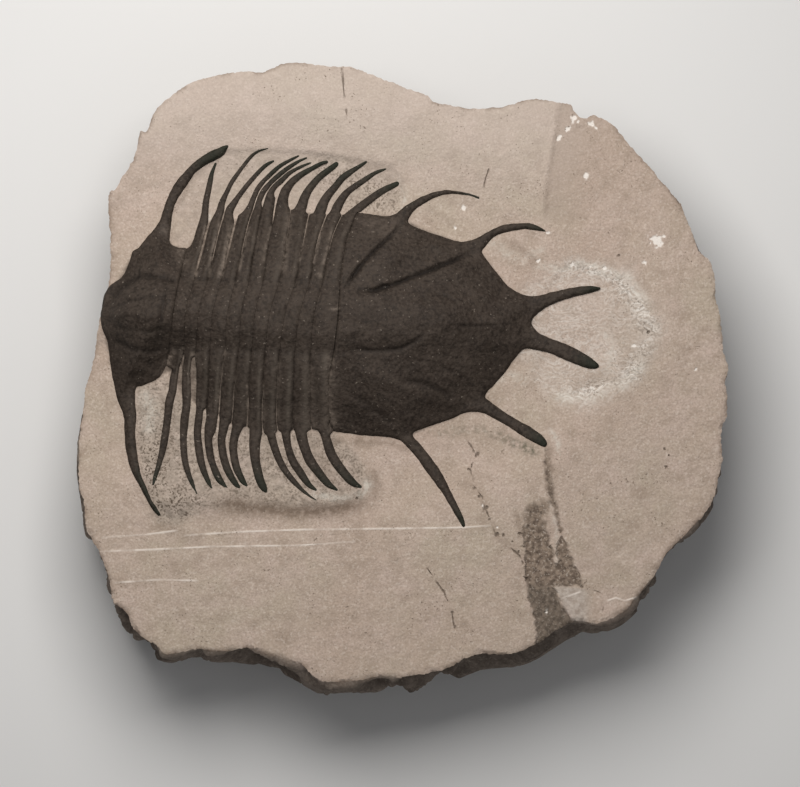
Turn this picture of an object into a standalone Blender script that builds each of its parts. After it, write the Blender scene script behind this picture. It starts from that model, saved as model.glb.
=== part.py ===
"""An acanthopyge trilobite on its limestone matrix, lying on the matrix's flat underside.

Metres, +Z up. The origin is at the middle of the underside. The head points to -X, and each
plate of the shell is an object of its own: cephalon, eleven thoracic segments and pygidium.
"""

import math

import bmesh
import bpy
import numpy as np

# Driving dimensions, in metres
SLAB_WIDTH = 0.102  # across the matrix, along X
SLAB_THICKNESS = 0.022  # underside to the rim of the upper face
DISH_DEPTH = 0.0016  # the prepared ground round the shell lies this far below the rim
BODY_RISE = 0.0050  # the swell of rock that fills the shell
AXIS_RISE = 0.0011  # the axial lobe stands this far over the side lobes
PLATE_THICKNESS = 0.0010
WALL_BULGE = 0.0013  # the wall on the -Y side leans out by this much at half height
UNDERSIDE_INSET = 0.0012  # the underside is this much smaller than the rim all round
GAP = 0.0003  # clearance between neighbouring plates
SEAT_GAP = 0.0005  # clearance between the plates and the matrix below them

# The scale of the plan, which is traced in the pixels of a picture taken from above, y down
MATRIX_LEFT_PX = 78
MATRIX_RIGHT_PX = 727
MATRIX_TOP_PX = 62
MATRIX_BOTTOM_PX = 682
PIXEL = SLAB_WIDTH / (MATRIX_RIGHT_PX - MATRIX_LEFT_PX)
CENTRE_PX = (
    (MATRIX_LEFT_PX + MATRIX_RIGHT_PX) / 2,
    (MATRIX_TOP_PX + MATRIX_BOTTOM_PX + WALL_BULGE / PIXEL) / 2,
)

# How far in from the margin the swell reaches its full height: sooner in the head than behind it
CROWN_PX = 95
HEAD_CROWN_PX = 52
HEAD_SPAN_PX = (120, 215)
# How far out from the margin the dish starts to climb back to the rim, and how long the climb is
DISH_PX = 62
DISH_SLOPE_PX = 30

# The axial lobe: where its midline runs, and its half width
AXIS_LINE_PX = ((100, 313), (190, 315), (345, 320), (532, 327))
AXIS_HALF_PX = 36
AXIS_END_PX = 430
AXIS_FADE_PX = 60

MATRIX_EDGE_PX = (
    (109, 284), (111, 250), (109, 213), (115, 189), (135, 154), (147, 130), (168, 98), (204, 77),
    (250, 71), (306, 62), (352, 67), (403, 86), (440, 103), (495, 107), (545, 99), (574, 110),
    (596, 115), (632, 148), (667, 188), (684, 215), (706, 257), (715, 298), (724, 350), (727, 399),
    (717, 480), (697, 521), (655, 572), (623, 610), (575, 620), (536, 643), (479, 653), (403, 676),
    (335, 682), (290, 659), (246, 647), (166, 653), (127, 611), (110, 576), (87, 522), (78, 468),
    (83, 410), (94, 360), (99, 325), (103, 303),
)  # fmt: skip

# The margin of the body without its spines, from the front of the head clockwise
BODY_MARGIN_PX = (
    (101, 315), (113, 287), (130, 258), (160, 226), (180, 240), (205, 226), (232, 214), (268, 207),
    (310, 209), (355, 212), (398, 214), (427, 229), (458, 240), (483, 253), (508, 286), (532, 304),
    (532, 338), (508, 365), (485, 395), (446, 418), (408, 436), (345, 433), (300, 430), (255, 430),
    (215, 424), (185, 408), (160, 392), (122, 400), (110, 360),
)  # fmt: skip

CEPHALON_EDGE_PX = (
    (102, 316), (105, 302), (113, 286), (123, 276), (131, 258), (141, 243), (156, 227), (160, 218),
    (164, 208), (172, 190), (187, 168), (199, 157), (212, 150), (228, 144), (227, 148), (215, 158),
    (196, 172), (181, 191), (173, 213), (171, 241), (185, 247), (182, 264), (179, 284), (173, 316),
    (168, 350), (164, 368), (155, 380), (137, 388), (135, 405), (136, 432), (140, 460), (148, 484),
    (163, 516), (158, 514), (146, 497), (134, 476), (126, 448), (124, 420), (117, 396), (111, 366),
    (108, 344), (102, 328),
)  # fmt: skip

PYGIDIUM_EDGE_PX = (
    (355, 218), (350, 230), (343, 256), (340, 284), (339, 320), (336, 352), (331, 385), (331, 408),
    (334, 430), (348, 434), (372, 436), (400, 441), (418, 466), (441, 493), (455, 514), (465, 531),
    (462, 508), (449, 481), (430, 455), (413, 432), (446, 418), (471, 411), (495, 420), (523, 434),
    (547, 447), (547, 442), (523, 421), (500, 406), (485, 396), (497, 380), (509, 363), (523, 348),
    (545, 350), (572, 360), (597, 368), (590, 359), (562, 342), (540, 333), (532, 321), (541, 310),
    (570, 299), (600, 287), (588, 285), (560, 289), (533, 295), (509, 286), (495, 270), (483, 252),
    (492, 239), (512, 229), (530, 228), (546, 230), (534, 223), (513, 221), (492, 227), (473, 238),
    (458, 239), (430, 229), (409, 219), (415, 206), (437, 195), (458, 194), (480, 197), (458, 189),
    (436, 188), (413, 198), (392, 213), (370, 212),
)  # fmt: skip

# Each segment: its upper spine from the tip to the axial furrow, then the lower spine back out
SEGMENTS_PX = (
    (((214, 163), (210, 178), (206, 198), (202, 222), (196, 246), (190, 278)),
     ((178, 353), (175, 375), (170, 400), (165, 430), (161, 458), (154, 484))),
    (((263, 148), (239, 167), (224, 192), (213, 218), (207, 246), (203, 278)),
     ((190, 353), (188, 380), (186, 405), (184, 432), (186, 460), (197, 493))),
    (((273, 159), (256, 170), (241, 187), (226, 211), (220, 240), (216, 278)),
     ((203, 353), (201, 380), (200, 408), (198, 432), (202, 458), (213, 489))),
    (((298, 154), (273, 168), (256, 185), (245, 210), (235, 242), (231, 278)),
     ((218, 353), (214, 380), (211, 410), (209, 438), (214, 461), (228, 488))),
    (((308, 156), (280, 169), (264, 183), (256, 205), (249, 238), (245, 278)),
     ((233, 353), (229, 380), (225, 410), (222, 438), (226, 461), (239, 487))),
    (((311, 162), (291, 171), (276, 183), (268, 203), (262, 236), (258, 278)),
     ((246, 353), (242, 383), (238, 412), (234, 441), (237, 464), (247, 486))),
    (((327, 160), (304, 170), (289, 182), (282, 197), (277, 230), (273, 278)),
     ((259, 353), (257, 385), (255, 415), (254, 444), (257, 469), (266, 491))),
    (((337, 162), (323, 170), (310, 184), (301, 202), (295, 236), (290, 278)),
     ((273, 353), (271, 385), (269, 416), (274, 446), (286, 469), (314, 498))),
    (((366, 161), (348, 170), (331, 186), (318, 206), (311, 238), (305, 278)),
     ((288, 353), (285, 385), (284, 416), (288, 446), (299, 469), (315, 488))),
    (((390, 166), (364, 178), (345, 191), (334, 207), (325, 240), (318, 278)),
     ((303, 353), (299, 385), (300, 416), (305, 447), (317, 470), (336, 489))),
    (((398, 181), (381, 189), (366, 198), (350, 212), (338, 240), (330, 278)),
     ((319, 353), (316, 385), (320, 418), (328, 448), (341, 470), (361, 486))),
)  # fmt: skip
RING_FORWARD_PX = 3  # each axial ring arches forward of the straight line between its ends
STATION_PX = 17  # spacing of the points along a segment

# Half width of a segment against the distance from the tip of its spine
UPPER_TAPER_PX = ((0, 30, 80, 115), (1.2, 2.3, 3.4, 6.2))
LOWER_TAPER_PX = ((0, 18, 60, 100), (1.5, 3.4, 4.0, 6.2))
PLATE_FLATNESS = 0.58  # height of a segment's section over its width
SECTION_SIDES = 8

MATRIX_CELLS = 34  # cells along each side of the grid that makes the upper face
SHIELD_CELL_PX = 12

LIMESTONE = (0.49, 0.41, 0.35)
CALCITE = (0.045, 0.036, 0.030)


def smooth(t):
    """An even ramp from 0 to 1, level at both ends."""
    t = np.clip(t, 0, 1)
    return t * t * (3 - 2 * t)


def metres(points_px):
    """Picture points as x and y in the part's own frame."""
    points_px = np.asarray(points_px, float)
    x = (points_px[:, 0] - CENTRE_PX[0]) * PIXEL
    y = (CENTRE_PX[1] - points_px[:, 1]) * PIXEL
    return np.column_stack([x, y])


def edge_distance(points, line):
    """Distance from each point to the nearest place on a line of points, all in pixels."""
    nearest = np.full(len(points), np.inf)
    for a, b in zip(line[:-1], line[1:]):
        along = np.clip((points - a) @ (b - a) / max((b - a) @ (b - a), 1e-9), 0, 1)
        nearest = np.minimum(nearest, np.linalg.norm(points - a - along[:, None] * (b - a), axis=1))
    return nearest


def depth_inside(points, outline):
    """Distance to a closed outline in pixels, positive inside it."""
    ring = np.array(outline + outline[:1], float)
    inside = np.zeros(len(points), bool)
    for a, b in zip(ring[:-1], ring[1:]):
        spans = (a[1] > points[:, 1]) != (b[1] > points[:, 1])
        run = (b[0] - a[0]) / ((b[1] - a[1]) or 1.0)
        inside ^= spans & (points[:, 0] < a[0] + (points[:, 1] - a[1]) * run)
    distance = edge_distance(points, ring)
    return np.where(inside, distance, -distance)


def ground(points):
    """Height of the matrix at picture points: the rim, the dish round the shell and the swell in it."""
    inside = depth_inside(points, BODY_MARGIN_PX)
    crown = np.interp(points[:, 0], HEAD_SPAN_PX, (HEAD_CROWN_PX, CROWN_PX))
    dish = DISH_DEPTH * (1 - smooth((-inside - DISH_PX) / DISH_SLOPE_PX))
    return SLAB_THICKNESS - dish + BODY_RISE * smooth(inside / crown)


def axial_lift(points):
    """How far the axial lobe arches over the side lobes at picture points."""
    line = np.array(AXIS_LINE_PX, float)
    offset = np.abs(points[:, 1] - np.interp(points[:, 0], line[:, 0], line[:, 1]))
    fade = 1 - smooth((points[:, 0] - AXIS_END_PX) / AXIS_FADE_PX)
    return AXIS_RISE * smooth(1 - offset / AXIS_HALF_PX) * fade


def material(name, colour, roughness):
    made = bpy.data.materials.new(name)
    made.use_nodes = True
    shader = made.node_tree.nodes["Principled BSDF"]
    shader.inputs["Base Color"].default_value = (*colour, 1)
    shader.inputs["Roughness"].default_value = roughness
    shader.inputs["Metallic"].default_value = 0
    return made


def add(name, data, collection, finish=None):
    """A new object of this mesh or curve, in the collection."""
    made = bpy.data.objects.new(name, data)
    collection.objects.link(made)
    if finish:
        data.materials.append(finish)
    return made


def rim_radius(angles):
    """How far the matrix's edge is from its centre at each angle, in metres."""
    edge = metres(MATRIX_EDGE_PX)
    bearing = np.arctan2(edge[:, 1], edge[:, 0])
    order = np.argsort(bearing)
    return np.interp(angles, bearing[order], np.hypot(edge[:, 0], edge[:, 1])[order], period=math.tau)


def matrix(collection, finish):
    """The slab: a square grid drawn out to the rim, with a wall and a flat underside below it."""
    mesh = bmesh.new()
    bmesh.ops.create_grid(mesh, x_segments=MATRIX_CELLS, y_segments=MATRIX_CELLS, size=1)
    square = np.array([v.co[:2] for v in mesh.verts])
    share = np.abs(square).max(axis=1)
    sideways = np.abs(square[:, 0]) >= np.abs(square[:, 1])
    long_side = np.where(sideways, square[:, 0], square[:, 1])
    short_side = np.where(sideways, square[:, 1], square[:, 0])
    turn = math.pi / 4 * short_side / np.where(long_side == 0, 1, long_side)
    angle = np.where(sideways, turn, math.pi / 2 - turn) + np.where(long_side < 0, math.pi, 0)
    angle = (angle + math.pi) % math.tau - math.pi
    radius = share * rim_radius(angle)
    plan = np.column_stack([radius * np.cos(angle), radius * np.sin(angle)])
    pixels = np.column_stack([plan[:, 0] / PIXEL + CENTRE_PX[0], CENTRE_PX[1] - plan[:, 1] / PIXEL])
    for vertex, spot, height in zip(mesh.verts, plan, ground(pixels)):
        vertex.co = (*spot, height)

    rim = [edge for edge in mesh.edges if edge.is_boundary]
    for level, lean, inset in ((0.5, WALL_BULGE, 0.0), (0.0, 0.0, UNDERSIDE_INSET)):
        made = bmesh.ops.extrude_edge_only(mesh, edges=rim)["geom"]
        rim = [item for item in made if isinstance(item, bmesh.types.BMEdge)]
        for vertex in {end for edge in rim for end in edge.verts}:
            bearing = math.atan2(vertex.co.y, vertex.co.x)
            reach = float(rim_radius(bearing)) - inset
            out = lean * min(0.0, math.sin(bearing))
            side = reach * math.sin(bearing) + out
            vertex.co = (reach * math.cos(bearing), side, level * SLAB_THICKNESS)
    bmesh.ops.contextual_create(mesh, geom=rim)
    bmesh.ops.recalc_face_normals(mesh, faces=mesh.faces)
    data = bpy.data.meshes.new("matrix")
    mesh.to_mesh(data)
    mesh.free()
    data.shade_smooth()
    data.set_sharp_from_angle(angle=math.radians(40))
    return add("matrix", data, collection, finish)


def shield(name, outline, collection, cutters, finish):
    """A domed plate: a sheet that follows the ground, cut to its outline."""
    points = np.array(outline, float)
    low = points.min(axis=0) - SHIELD_CELL_PX
    high = points.max(axis=0) + SHIELD_CELL_PX
    cells = np.ceil((high - low) / SHIELD_CELL_PX).astype(int)
    mesh = bmesh.new()
    bmesh.ops.create_grid(mesh, x_segments=int(cells[0]), y_segments=int(cells[1]), size=0.5)
    spots = low + (np.array([v.co[:2] for v in mesh.verts]) + 0.5) * (high - low)
    heights = ground(spots) + SEAT_GAP + axial_lift(spots)
    for vertex, spot, height in zip(mesh.verts, metres(spots), heights):
        vertex.co = (*spot, height)
    bmesh.ops.recalc_face_normals(mesh, faces=mesh.faces)
    if sum(face.normal.z for face in mesh.faces) < 0:
        bmesh.ops.reverse_faces(mesh, faces=mesh.faces)
    data = bpy.data.meshes.new(name)
    mesh.to_mesh(data)
    mesh.free()
    data.shade_smooth()
    plate = add(name, data, collection, finish)

    thick = plate.modifiers.new("Thickness", "SOLIDIFY")
    thick.thickness = PLATE_THICKNESS
    thick.offset = 1
    cut = plate.modifiers.new("Outline", "BOOLEAN")
    cut.operation = "INTERSECT"
    cut.object = outline_cutter(name + "_outline", outline, cutters)
    return plate


def outline_cutter(name, outline, cutters):
    """A prism of this outline, taller than the whole part."""
    mesh = bmesh.new()
    face = mesh.faces.new([mesh.verts.new((*spot, -SLAB_THICKNESS)) for spot in metres(outline)])
    made = bmesh.ops.extrude_face_region(mesh, geom=[face])["geom"]
    top = [item for item in made if isinstance(item, bmesh.types.BMVert)]
    bmesh.ops.translate(mesh, verts=top, vec=(0, 0, 4 * SLAB_THICKNESS))
    bmesh.ops.recalc_face_normals(mesh, faces=mesh.faces)
    data = bpy.data.meshes.new(name)
    mesh.to_mesh(data)
    mesh.free()
    cutter = add(name, data, cutters)
    cutter.hide_render = True
    cutter.display_type = "WIRE"
    return cutter


def smooth_line(points, spacing):
    """Evenly spaced points on a smooth curve through these points."""
    points = np.asarray(points, float)
    padded = np.vstack([2 * points[0] - points[1], points, 2 * points[-1] - points[-2]])
    dense = []
    for before, start, end, after in zip(padded[:-3], padded[1:-2], padded[2:-1], padded[3:]):
        t = np.linspace(0, 1, 12, endpoint=False)[:, None]
        bend = 2 * before - 5 * start + 4 * end - after
        twist = 3 * start - before - 3 * end + after
        dense.append(start + 0.5 * (t * (end - before) + t**2 * bend + t**3 * twist))
    dense = np.vstack([*dense, points[-1:]])
    run = np.concatenate([[0], np.cumsum(np.linalg.norm(np.diff(dense, axis=0), axis=1))])
    steps = np.linspace(0, run[-1], round(run[-1] / spacing) + 1)
    return np.column_stack([np.interp(steps, run, dense[:, i]) for i in (0, 1)])


def segment_lines():
    """The midline of each segment, from the tip of one spine over the axis to the other tip."""
    lines = []
    for upper, lower in SEGMENTS_PX:
        middle = (
            (upper[-1][0] + lower[0][0]) / 2 - RING_FORWARD_PX,
            (upper[-1][1] + lower[0][1]) / 2,
        )
        lines.append(smooth_line([*upper, middle, *lower], STATION_PX))
    return lines


def half_widths(lines, index):
    """The half width along one segment: its own taper, or less where a neighbour is close."""
    line = lines[index]
    run = np.concatenate([[0], np.cumsum(np.linalg.norm(np.diff(line, axis=0), axis=1))])
    width = np.minimum(np.interp(run, *UPPER_TAPER_PX), np.interp(run[-1] - run, *LOWER_TAPER_PX))
    for other in lines[max(index - 1, 0) : index] + lines[index + 1 : index + 2]:
        room = edge_distance(line, other) / 2 - GAP / PIXEL / 2
        width = np.minimum(width, room)
    return width


def section(cutters):
    """The flattened ring that the segments' curves carry as their cross-section."""
    data = bpy.data.curves.new("segment_section", "CURVE")
    data.dimensions = "2D"
    ring = data.splines.new("POLY")
    ring.points.add(SECTION_SIDES - 1)
    for step, point in enumerate(ring.points):
        angle = -math.tau * step / SECTION_SIDES
        point.co = (math.cos(angle), PLATE_FLATNESS * math.sin(angle), 0, 1)
    ring.use_cyclic_u = True
    made = add("segment_section", data, cutters)
    made.hide_render = True
    made.display_type = "WIRE"
    return made


def segment(name, line, width, profile, collection, finish):
    """One thoracic segment: a flat rod that follows the ground from spine tip to spine tip."""
    data = bpy.data.curves.new(name, "CURVE")
    data.dimensions = "3D"
    data.twist_mode = "Z_UP"
    data.bevel_mode = "OBJECT"
    data.bevel_object = profile
    data.use_fill_caps = True
    half = width * PIXEL
    heights = ground(line) + SEAT_GAP + axial_lift(line) + PLATE_FLATNESS * half
    rod = data.splines.new("POLY")
    rod.points.add(len(line) - 1)
    for point, spot, height, radius in zip(rod.points, metres(line), heights, half):
        point.co = (*spot, height, 1)
        point.radius = radius
    return add(name, data, collection, finish)


def main():
    for old in list(bpy.data.objects):
        bpy.data.objects.remove(old, do_unlink=True)
    parts = bpy.data.collections.new("Acanthopyge trilobite")
    cutters = bpy.data.collections.new("Cutters")
    for collection in (parts, cutters):
        bpy.context.scene.collection.children.link(collection)

    matrix(parts, material("Limestone", LIMESTONE, 0.85))
    shield("cephalon", CEPHALON_EDGE_PX, parts, cutters, material("Cephalon", CALCITE, 0.5))
    profile = section(cutters)
    lines = segment_lines()
    for index, line in enumerate(lines):
        name = f"thoracic_segment_{index + 1:02d}"
        finish = material(name, CALCITE, 0.5)
        segment(name, line, half_widths(lines, index), profile, parts, finish)
    shield("pygidium", PYGIDIUM_EDGE_PX, parts, cutters, material("Pygidium", CALCITE, 0.5))


main()
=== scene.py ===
"""The looks of an acanthopyge trilobite on its limestone matrix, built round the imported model.

Plans are traced in the pixels of a picture taken from above, x to the right and y down, and
heights are in metres. The rock and the plates of the shell all follow one bed, so each plate
lies on the rock wherever its plan puts it.
"""

import itertools
import math

import bmesh
import bpy
import numpy as np
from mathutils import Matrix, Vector
from mathutils.geometry import delaunay_2d_cdt
from mathutils.kdtree import KDTree


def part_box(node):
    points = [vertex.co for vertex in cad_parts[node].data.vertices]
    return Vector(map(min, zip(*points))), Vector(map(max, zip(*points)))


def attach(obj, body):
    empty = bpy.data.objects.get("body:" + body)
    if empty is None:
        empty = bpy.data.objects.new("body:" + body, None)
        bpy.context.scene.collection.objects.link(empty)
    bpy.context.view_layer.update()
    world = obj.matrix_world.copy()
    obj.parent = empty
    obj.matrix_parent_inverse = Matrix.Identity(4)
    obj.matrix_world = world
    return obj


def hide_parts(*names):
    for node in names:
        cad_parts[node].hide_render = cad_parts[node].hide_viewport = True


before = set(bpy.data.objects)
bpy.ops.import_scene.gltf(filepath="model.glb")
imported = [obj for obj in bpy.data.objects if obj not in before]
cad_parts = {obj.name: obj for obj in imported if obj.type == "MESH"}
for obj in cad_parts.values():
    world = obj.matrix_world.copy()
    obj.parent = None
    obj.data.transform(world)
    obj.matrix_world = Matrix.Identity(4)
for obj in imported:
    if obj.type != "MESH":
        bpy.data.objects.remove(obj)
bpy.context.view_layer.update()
MATRIX_LOW, MATRIX_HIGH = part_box("matrix")

# The scale of the plan: the matrix spans these pixels in the picture
MATRIX_LEFT_PX = 78
MATRIX_RIGHT_PX = 727
MATRIX_TOP_PX = 62
PIXEL = (MATRIX_HIGH.x - MATRIX_LOW.x) / (MATRIX_RIGHT_PX - MATRIX_LEFT_PX)
IMAGE_PX = (800, 787)

# Heights of the bed, in metres
RIM_HEIGHT = 0.022
DISH_DEPTH = 0.0016
BODY_RISE = 0.0050
AXIS_RISE = 0.0010
JOINT_FILL = 0.0010  # the rock fills the joints between the plates up to this above the swell
PLATEAU_RISE = 0.0009  # the rock left between the lower spines
PIT_DEPTH = 0.00035  # of the ground among the upper spines
PLATE_DEPTH = 0.0009  # how far each plate's underside lies below the bed
UNDER_PLATES_DEPTH = 0.0006  # how far the rock lies below it under the wide plates

# Relief of the rock's upper face on the bed, in metres
WAVE_HEIGHT = 0.00020
RIPPLE_HEIGHT = 0.00006
GRAIN_HEIGHT = 0.00003
ROUGH_HEIGHT = 0.00011
TRENCH_DEPTH = 0.00022
TRENCH_ROUGHNESS = 0.00005
SCRAPED_DEPTH = 0.00018
SCRAPED_ROUGHNESS = 0.00005
ABRADED_ROUGHNESS = 0.00013
ABRADED_LIP = 0.00010
PATCH_DEPTH = 0.00042
PATCH_ROUGHNESS = 0.00012
VEIN_HEIGHT = 0.00003
CRACK_DEPTH = 0.00022
CHIP_DEPTH = 0.00010
STEP_DEPTH = 0.00018
RIM_DROP = 0.00016
RIM_CHIP_DROP = 0.00030

# Relief of the shell on the bed, in metres
MARGIN_HEIGHT = 0.00052
LUMP_HEIGHT = 0.00020
SWELLING_HEIGHT = 0.00008
FINE_SWELLING_HEIGHT = 0.00005
GRANULE_HEIGHT = 0.00013
EDGE_RISE = 0.00012
BAND_RISE = 0.00045
BAND_FURROW = 0.00017
RING_RISE = 0.00025
RING_TILT = 0.00008
AXIAL_FURROW = 0.00022
SPINE_SINK = 0.00004
SPINE_STOUTNESS = 0.80  # how high a spine stands, in halves of its width
DARKEST_GROOVE_SHADE = 0.0006  # a groove this deep gets the darkest painted shade

# Spans of the bed, in pixels
CROWN_PX = 95
HEAD_CROWN_PX = 52
HEAD_SPAN_PX = (120, 215)
DISH_PX = 25
DISH_SLOPE_PX = 85
PLATEAU_SLOPE_PX = 26
PIT_SLOPE_PX = 7
FILL_START_PX = 10
FILL_RAMP_PX = 46
AXIS_LINE_PX = ((100, 313), (190, 315), (345, 320), (532, 327))
AXIS_HALF_PX = 36
AXIS_STEEPNESS = 1.5  # the lobe is this much steeper at its sides, and flat on top
AXIS_END_PX = 430
AXIS_FADE_PX = 60

# The slab's rim, clockwise from the front of the head
RIM_PX = (
    (105, 300), (109, 284), (111, 266), (111, 245), (109, 213), (110, 191), (115, 189), (122, 176),
    (135, 154), (140, 132), (147, 130), (156, 110), (168, 98), (185, 85), (204, 77), (235, 71),
    (261, 71), (276, 66), (285, 62), (306, 62), (326, 65), (352, 67), (373, 74), (387, 80),
    (403, 86), (426, 94), (435, 102), (449, 104), (463, 107), (495, 107), (509, 104), (527, 99),
    (545, 99), (570, 104), (574, 110), (582, 117), (596, 115), (610, 123), (621, 133), (632, 148),
    (644, 160), (655, 174), (667, 188), (681, 204), (684, 215), (690, 228), (698, 250), (706, 257),
    (711, 267), (714, 279), (715, 298), (718, 311), (720, 326), (723, 350), (727, 368), (724, 382),
    (727, 399), (725, 419), (720, 430), (721, 460), (717, 480), (711, 501), (697, 521), (681, 537),
    (665, 553), (655, 572), (635, 597), (623, 610), (598, 622), (575, 620), (554, 630), (536, 643),
    (509, 653), (479, 653), (458, 661), (442, 669), (403, 676), (380, 675), (364, 679), (329, 681),
    (316, 676), (303, 664), (290, 659), (266, 653), (246, 647), (225, 650), (199, 648), (181, 652),
    (166, 653), (158, 645), (142, 634), (134, 626), (127, 611), (114, 600), (110, 576), (101, 552),
    (92, 539), (87, 522), (85, 500), (81, 489), (80, 468), (80, 440), (85, 398), (86, 387),
    (90, 377), (94, 360), (99, 327), (101, 315),
)  # fmt: skip

# The margin of the body without its spines, from the front of the head clockwise
BODY_MARGIN_PX = (
    (101, 315), (113, 287), (130, 258), (160, 226), (172, 243), (186, 248), (198, 232), (210, 219),
    (225, 208), (235, 219), (250, 208), (262, 206), (273, 216), (293, 207), (308, 211), (326, 213),
    (341, 213), (360, 213), (398, 214), (427, 229), (458, 240), (483, 253), (508, 286), (532, 304),
    (532, 338), (508, 365), (485, 395), (446, 418), (408, 436), (336, 432), (312, 430), (292, 430),
    (278, 431), (264, 431), (247, 427), (231, 424), (219, 416), (206, 409), (194, 402), (180, 392),
    (168, 372), (155, 381), (137, 388), (120, 396), (110, 360),
)  # fmt: skip

CEPHALON_PX = (
    (101, 316), (103, 303), (106, 291), (112, 283), (122, 276), (126, 269), (130, 259), (133, 250),
    (139, 246), (147, 236), (153, 229), (157, 224), (160, 219), (163, 209), (167, 198), (171, 189),
    (177, 179), (183, 172), (191, 164), (199, 157), (207, 152), (215, 148), (228, 144), (224, 153),
    (213, 160), (205, 164), (195, 172), (188, 182), (177, 199), (173, 210), (171, 225), (170, 241),
    (178, 246), (187, 248), (184, 262), (180, 284), (175, 316), (170, 350), (164, 371), (155, 380),
    (143, 385), (137, 387), (136, 400), (137, 415), (136, 430), (137, 445), (139, 460), (142, 474),
    (147, 486), (152, 498), (158, 508), (162, 516), (157, 514), (150, 504), (141, 487), (134, 474),
    (129, 460), (126, 445), (125, 430), (124, 415), (118, 400), (115, 386), (112, 372), (110, 357),
    (108, 341), (103, 329),
)  # fmt: skip
HEAD_REAR_PX = ((187, 244), (184, 262), (180, 284), (175, 316), (170, 350), (164, 371), (155, 380))

PYGIDIUM_PX = (
    (357, 212), (352, 222), (347, 237), (343, 256), (340, 284), (338, 320), (334, 352), (329, 380),
    (328, 405), (330, 424), (335, 431), (350, 433), (368, 435), (384, 436), (399, 439), (407, 446),
    (416, 456), (428, 473), (442, 493), (452, 510), (460, 523), (464, 528), (465, 522), (460, 509),
    (452, 493), (442, 473), (431, 457), (420, 443), (413, 433), (428, 426), (449, 419), (465, 412),
    (476, 411), (485, 413), (496, 419), (508, 426), (521, 435), (535, 443), (544, 447), (547, 443),
    (543, 436), (533, 428), (521, 421), (506, 412), (492, 402), (485, 395), (495, 383), (506, 370),
    (515, 357), (524, 348), (537, 349), (552, 353), (570, 361), (585, 367), (596, 368), (598, 364),
    (589, 356), (570, 345), (552, 338), (539, 332), (532, 324), (533, 317), (543, 308), (557, 301),
    (576, 295), (594, 291), (600, 287), (589, 285), (570, 287), (552, 291), (535, 295), (522, 293),
    (508, 285), (498, 273), (487, 259), (482, 251), (485, 246), (494, 236), (507, 231), (524, 228),
    (539, 230), (546, 230), (533, 223), (520, 222), (502, 224), (487, 231), (471, 239), (457, 240),
    (441, 235), (426, 230), (410, 223), (409, 217), (417, 207), (434, 197), (448, 193), (467, 194),
    (480, 198), (478, 195), (459, 190), (441, 189), (422, 195), (406, 204), (396, 212), (386, 215),
    (372, 213),
)  # fmt: skip
TAIL_FRONT_PX = ((357, 212), (347, 237), (340, 284), (338, 320), (334, 352), (329, 380), (330, 424))

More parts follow.
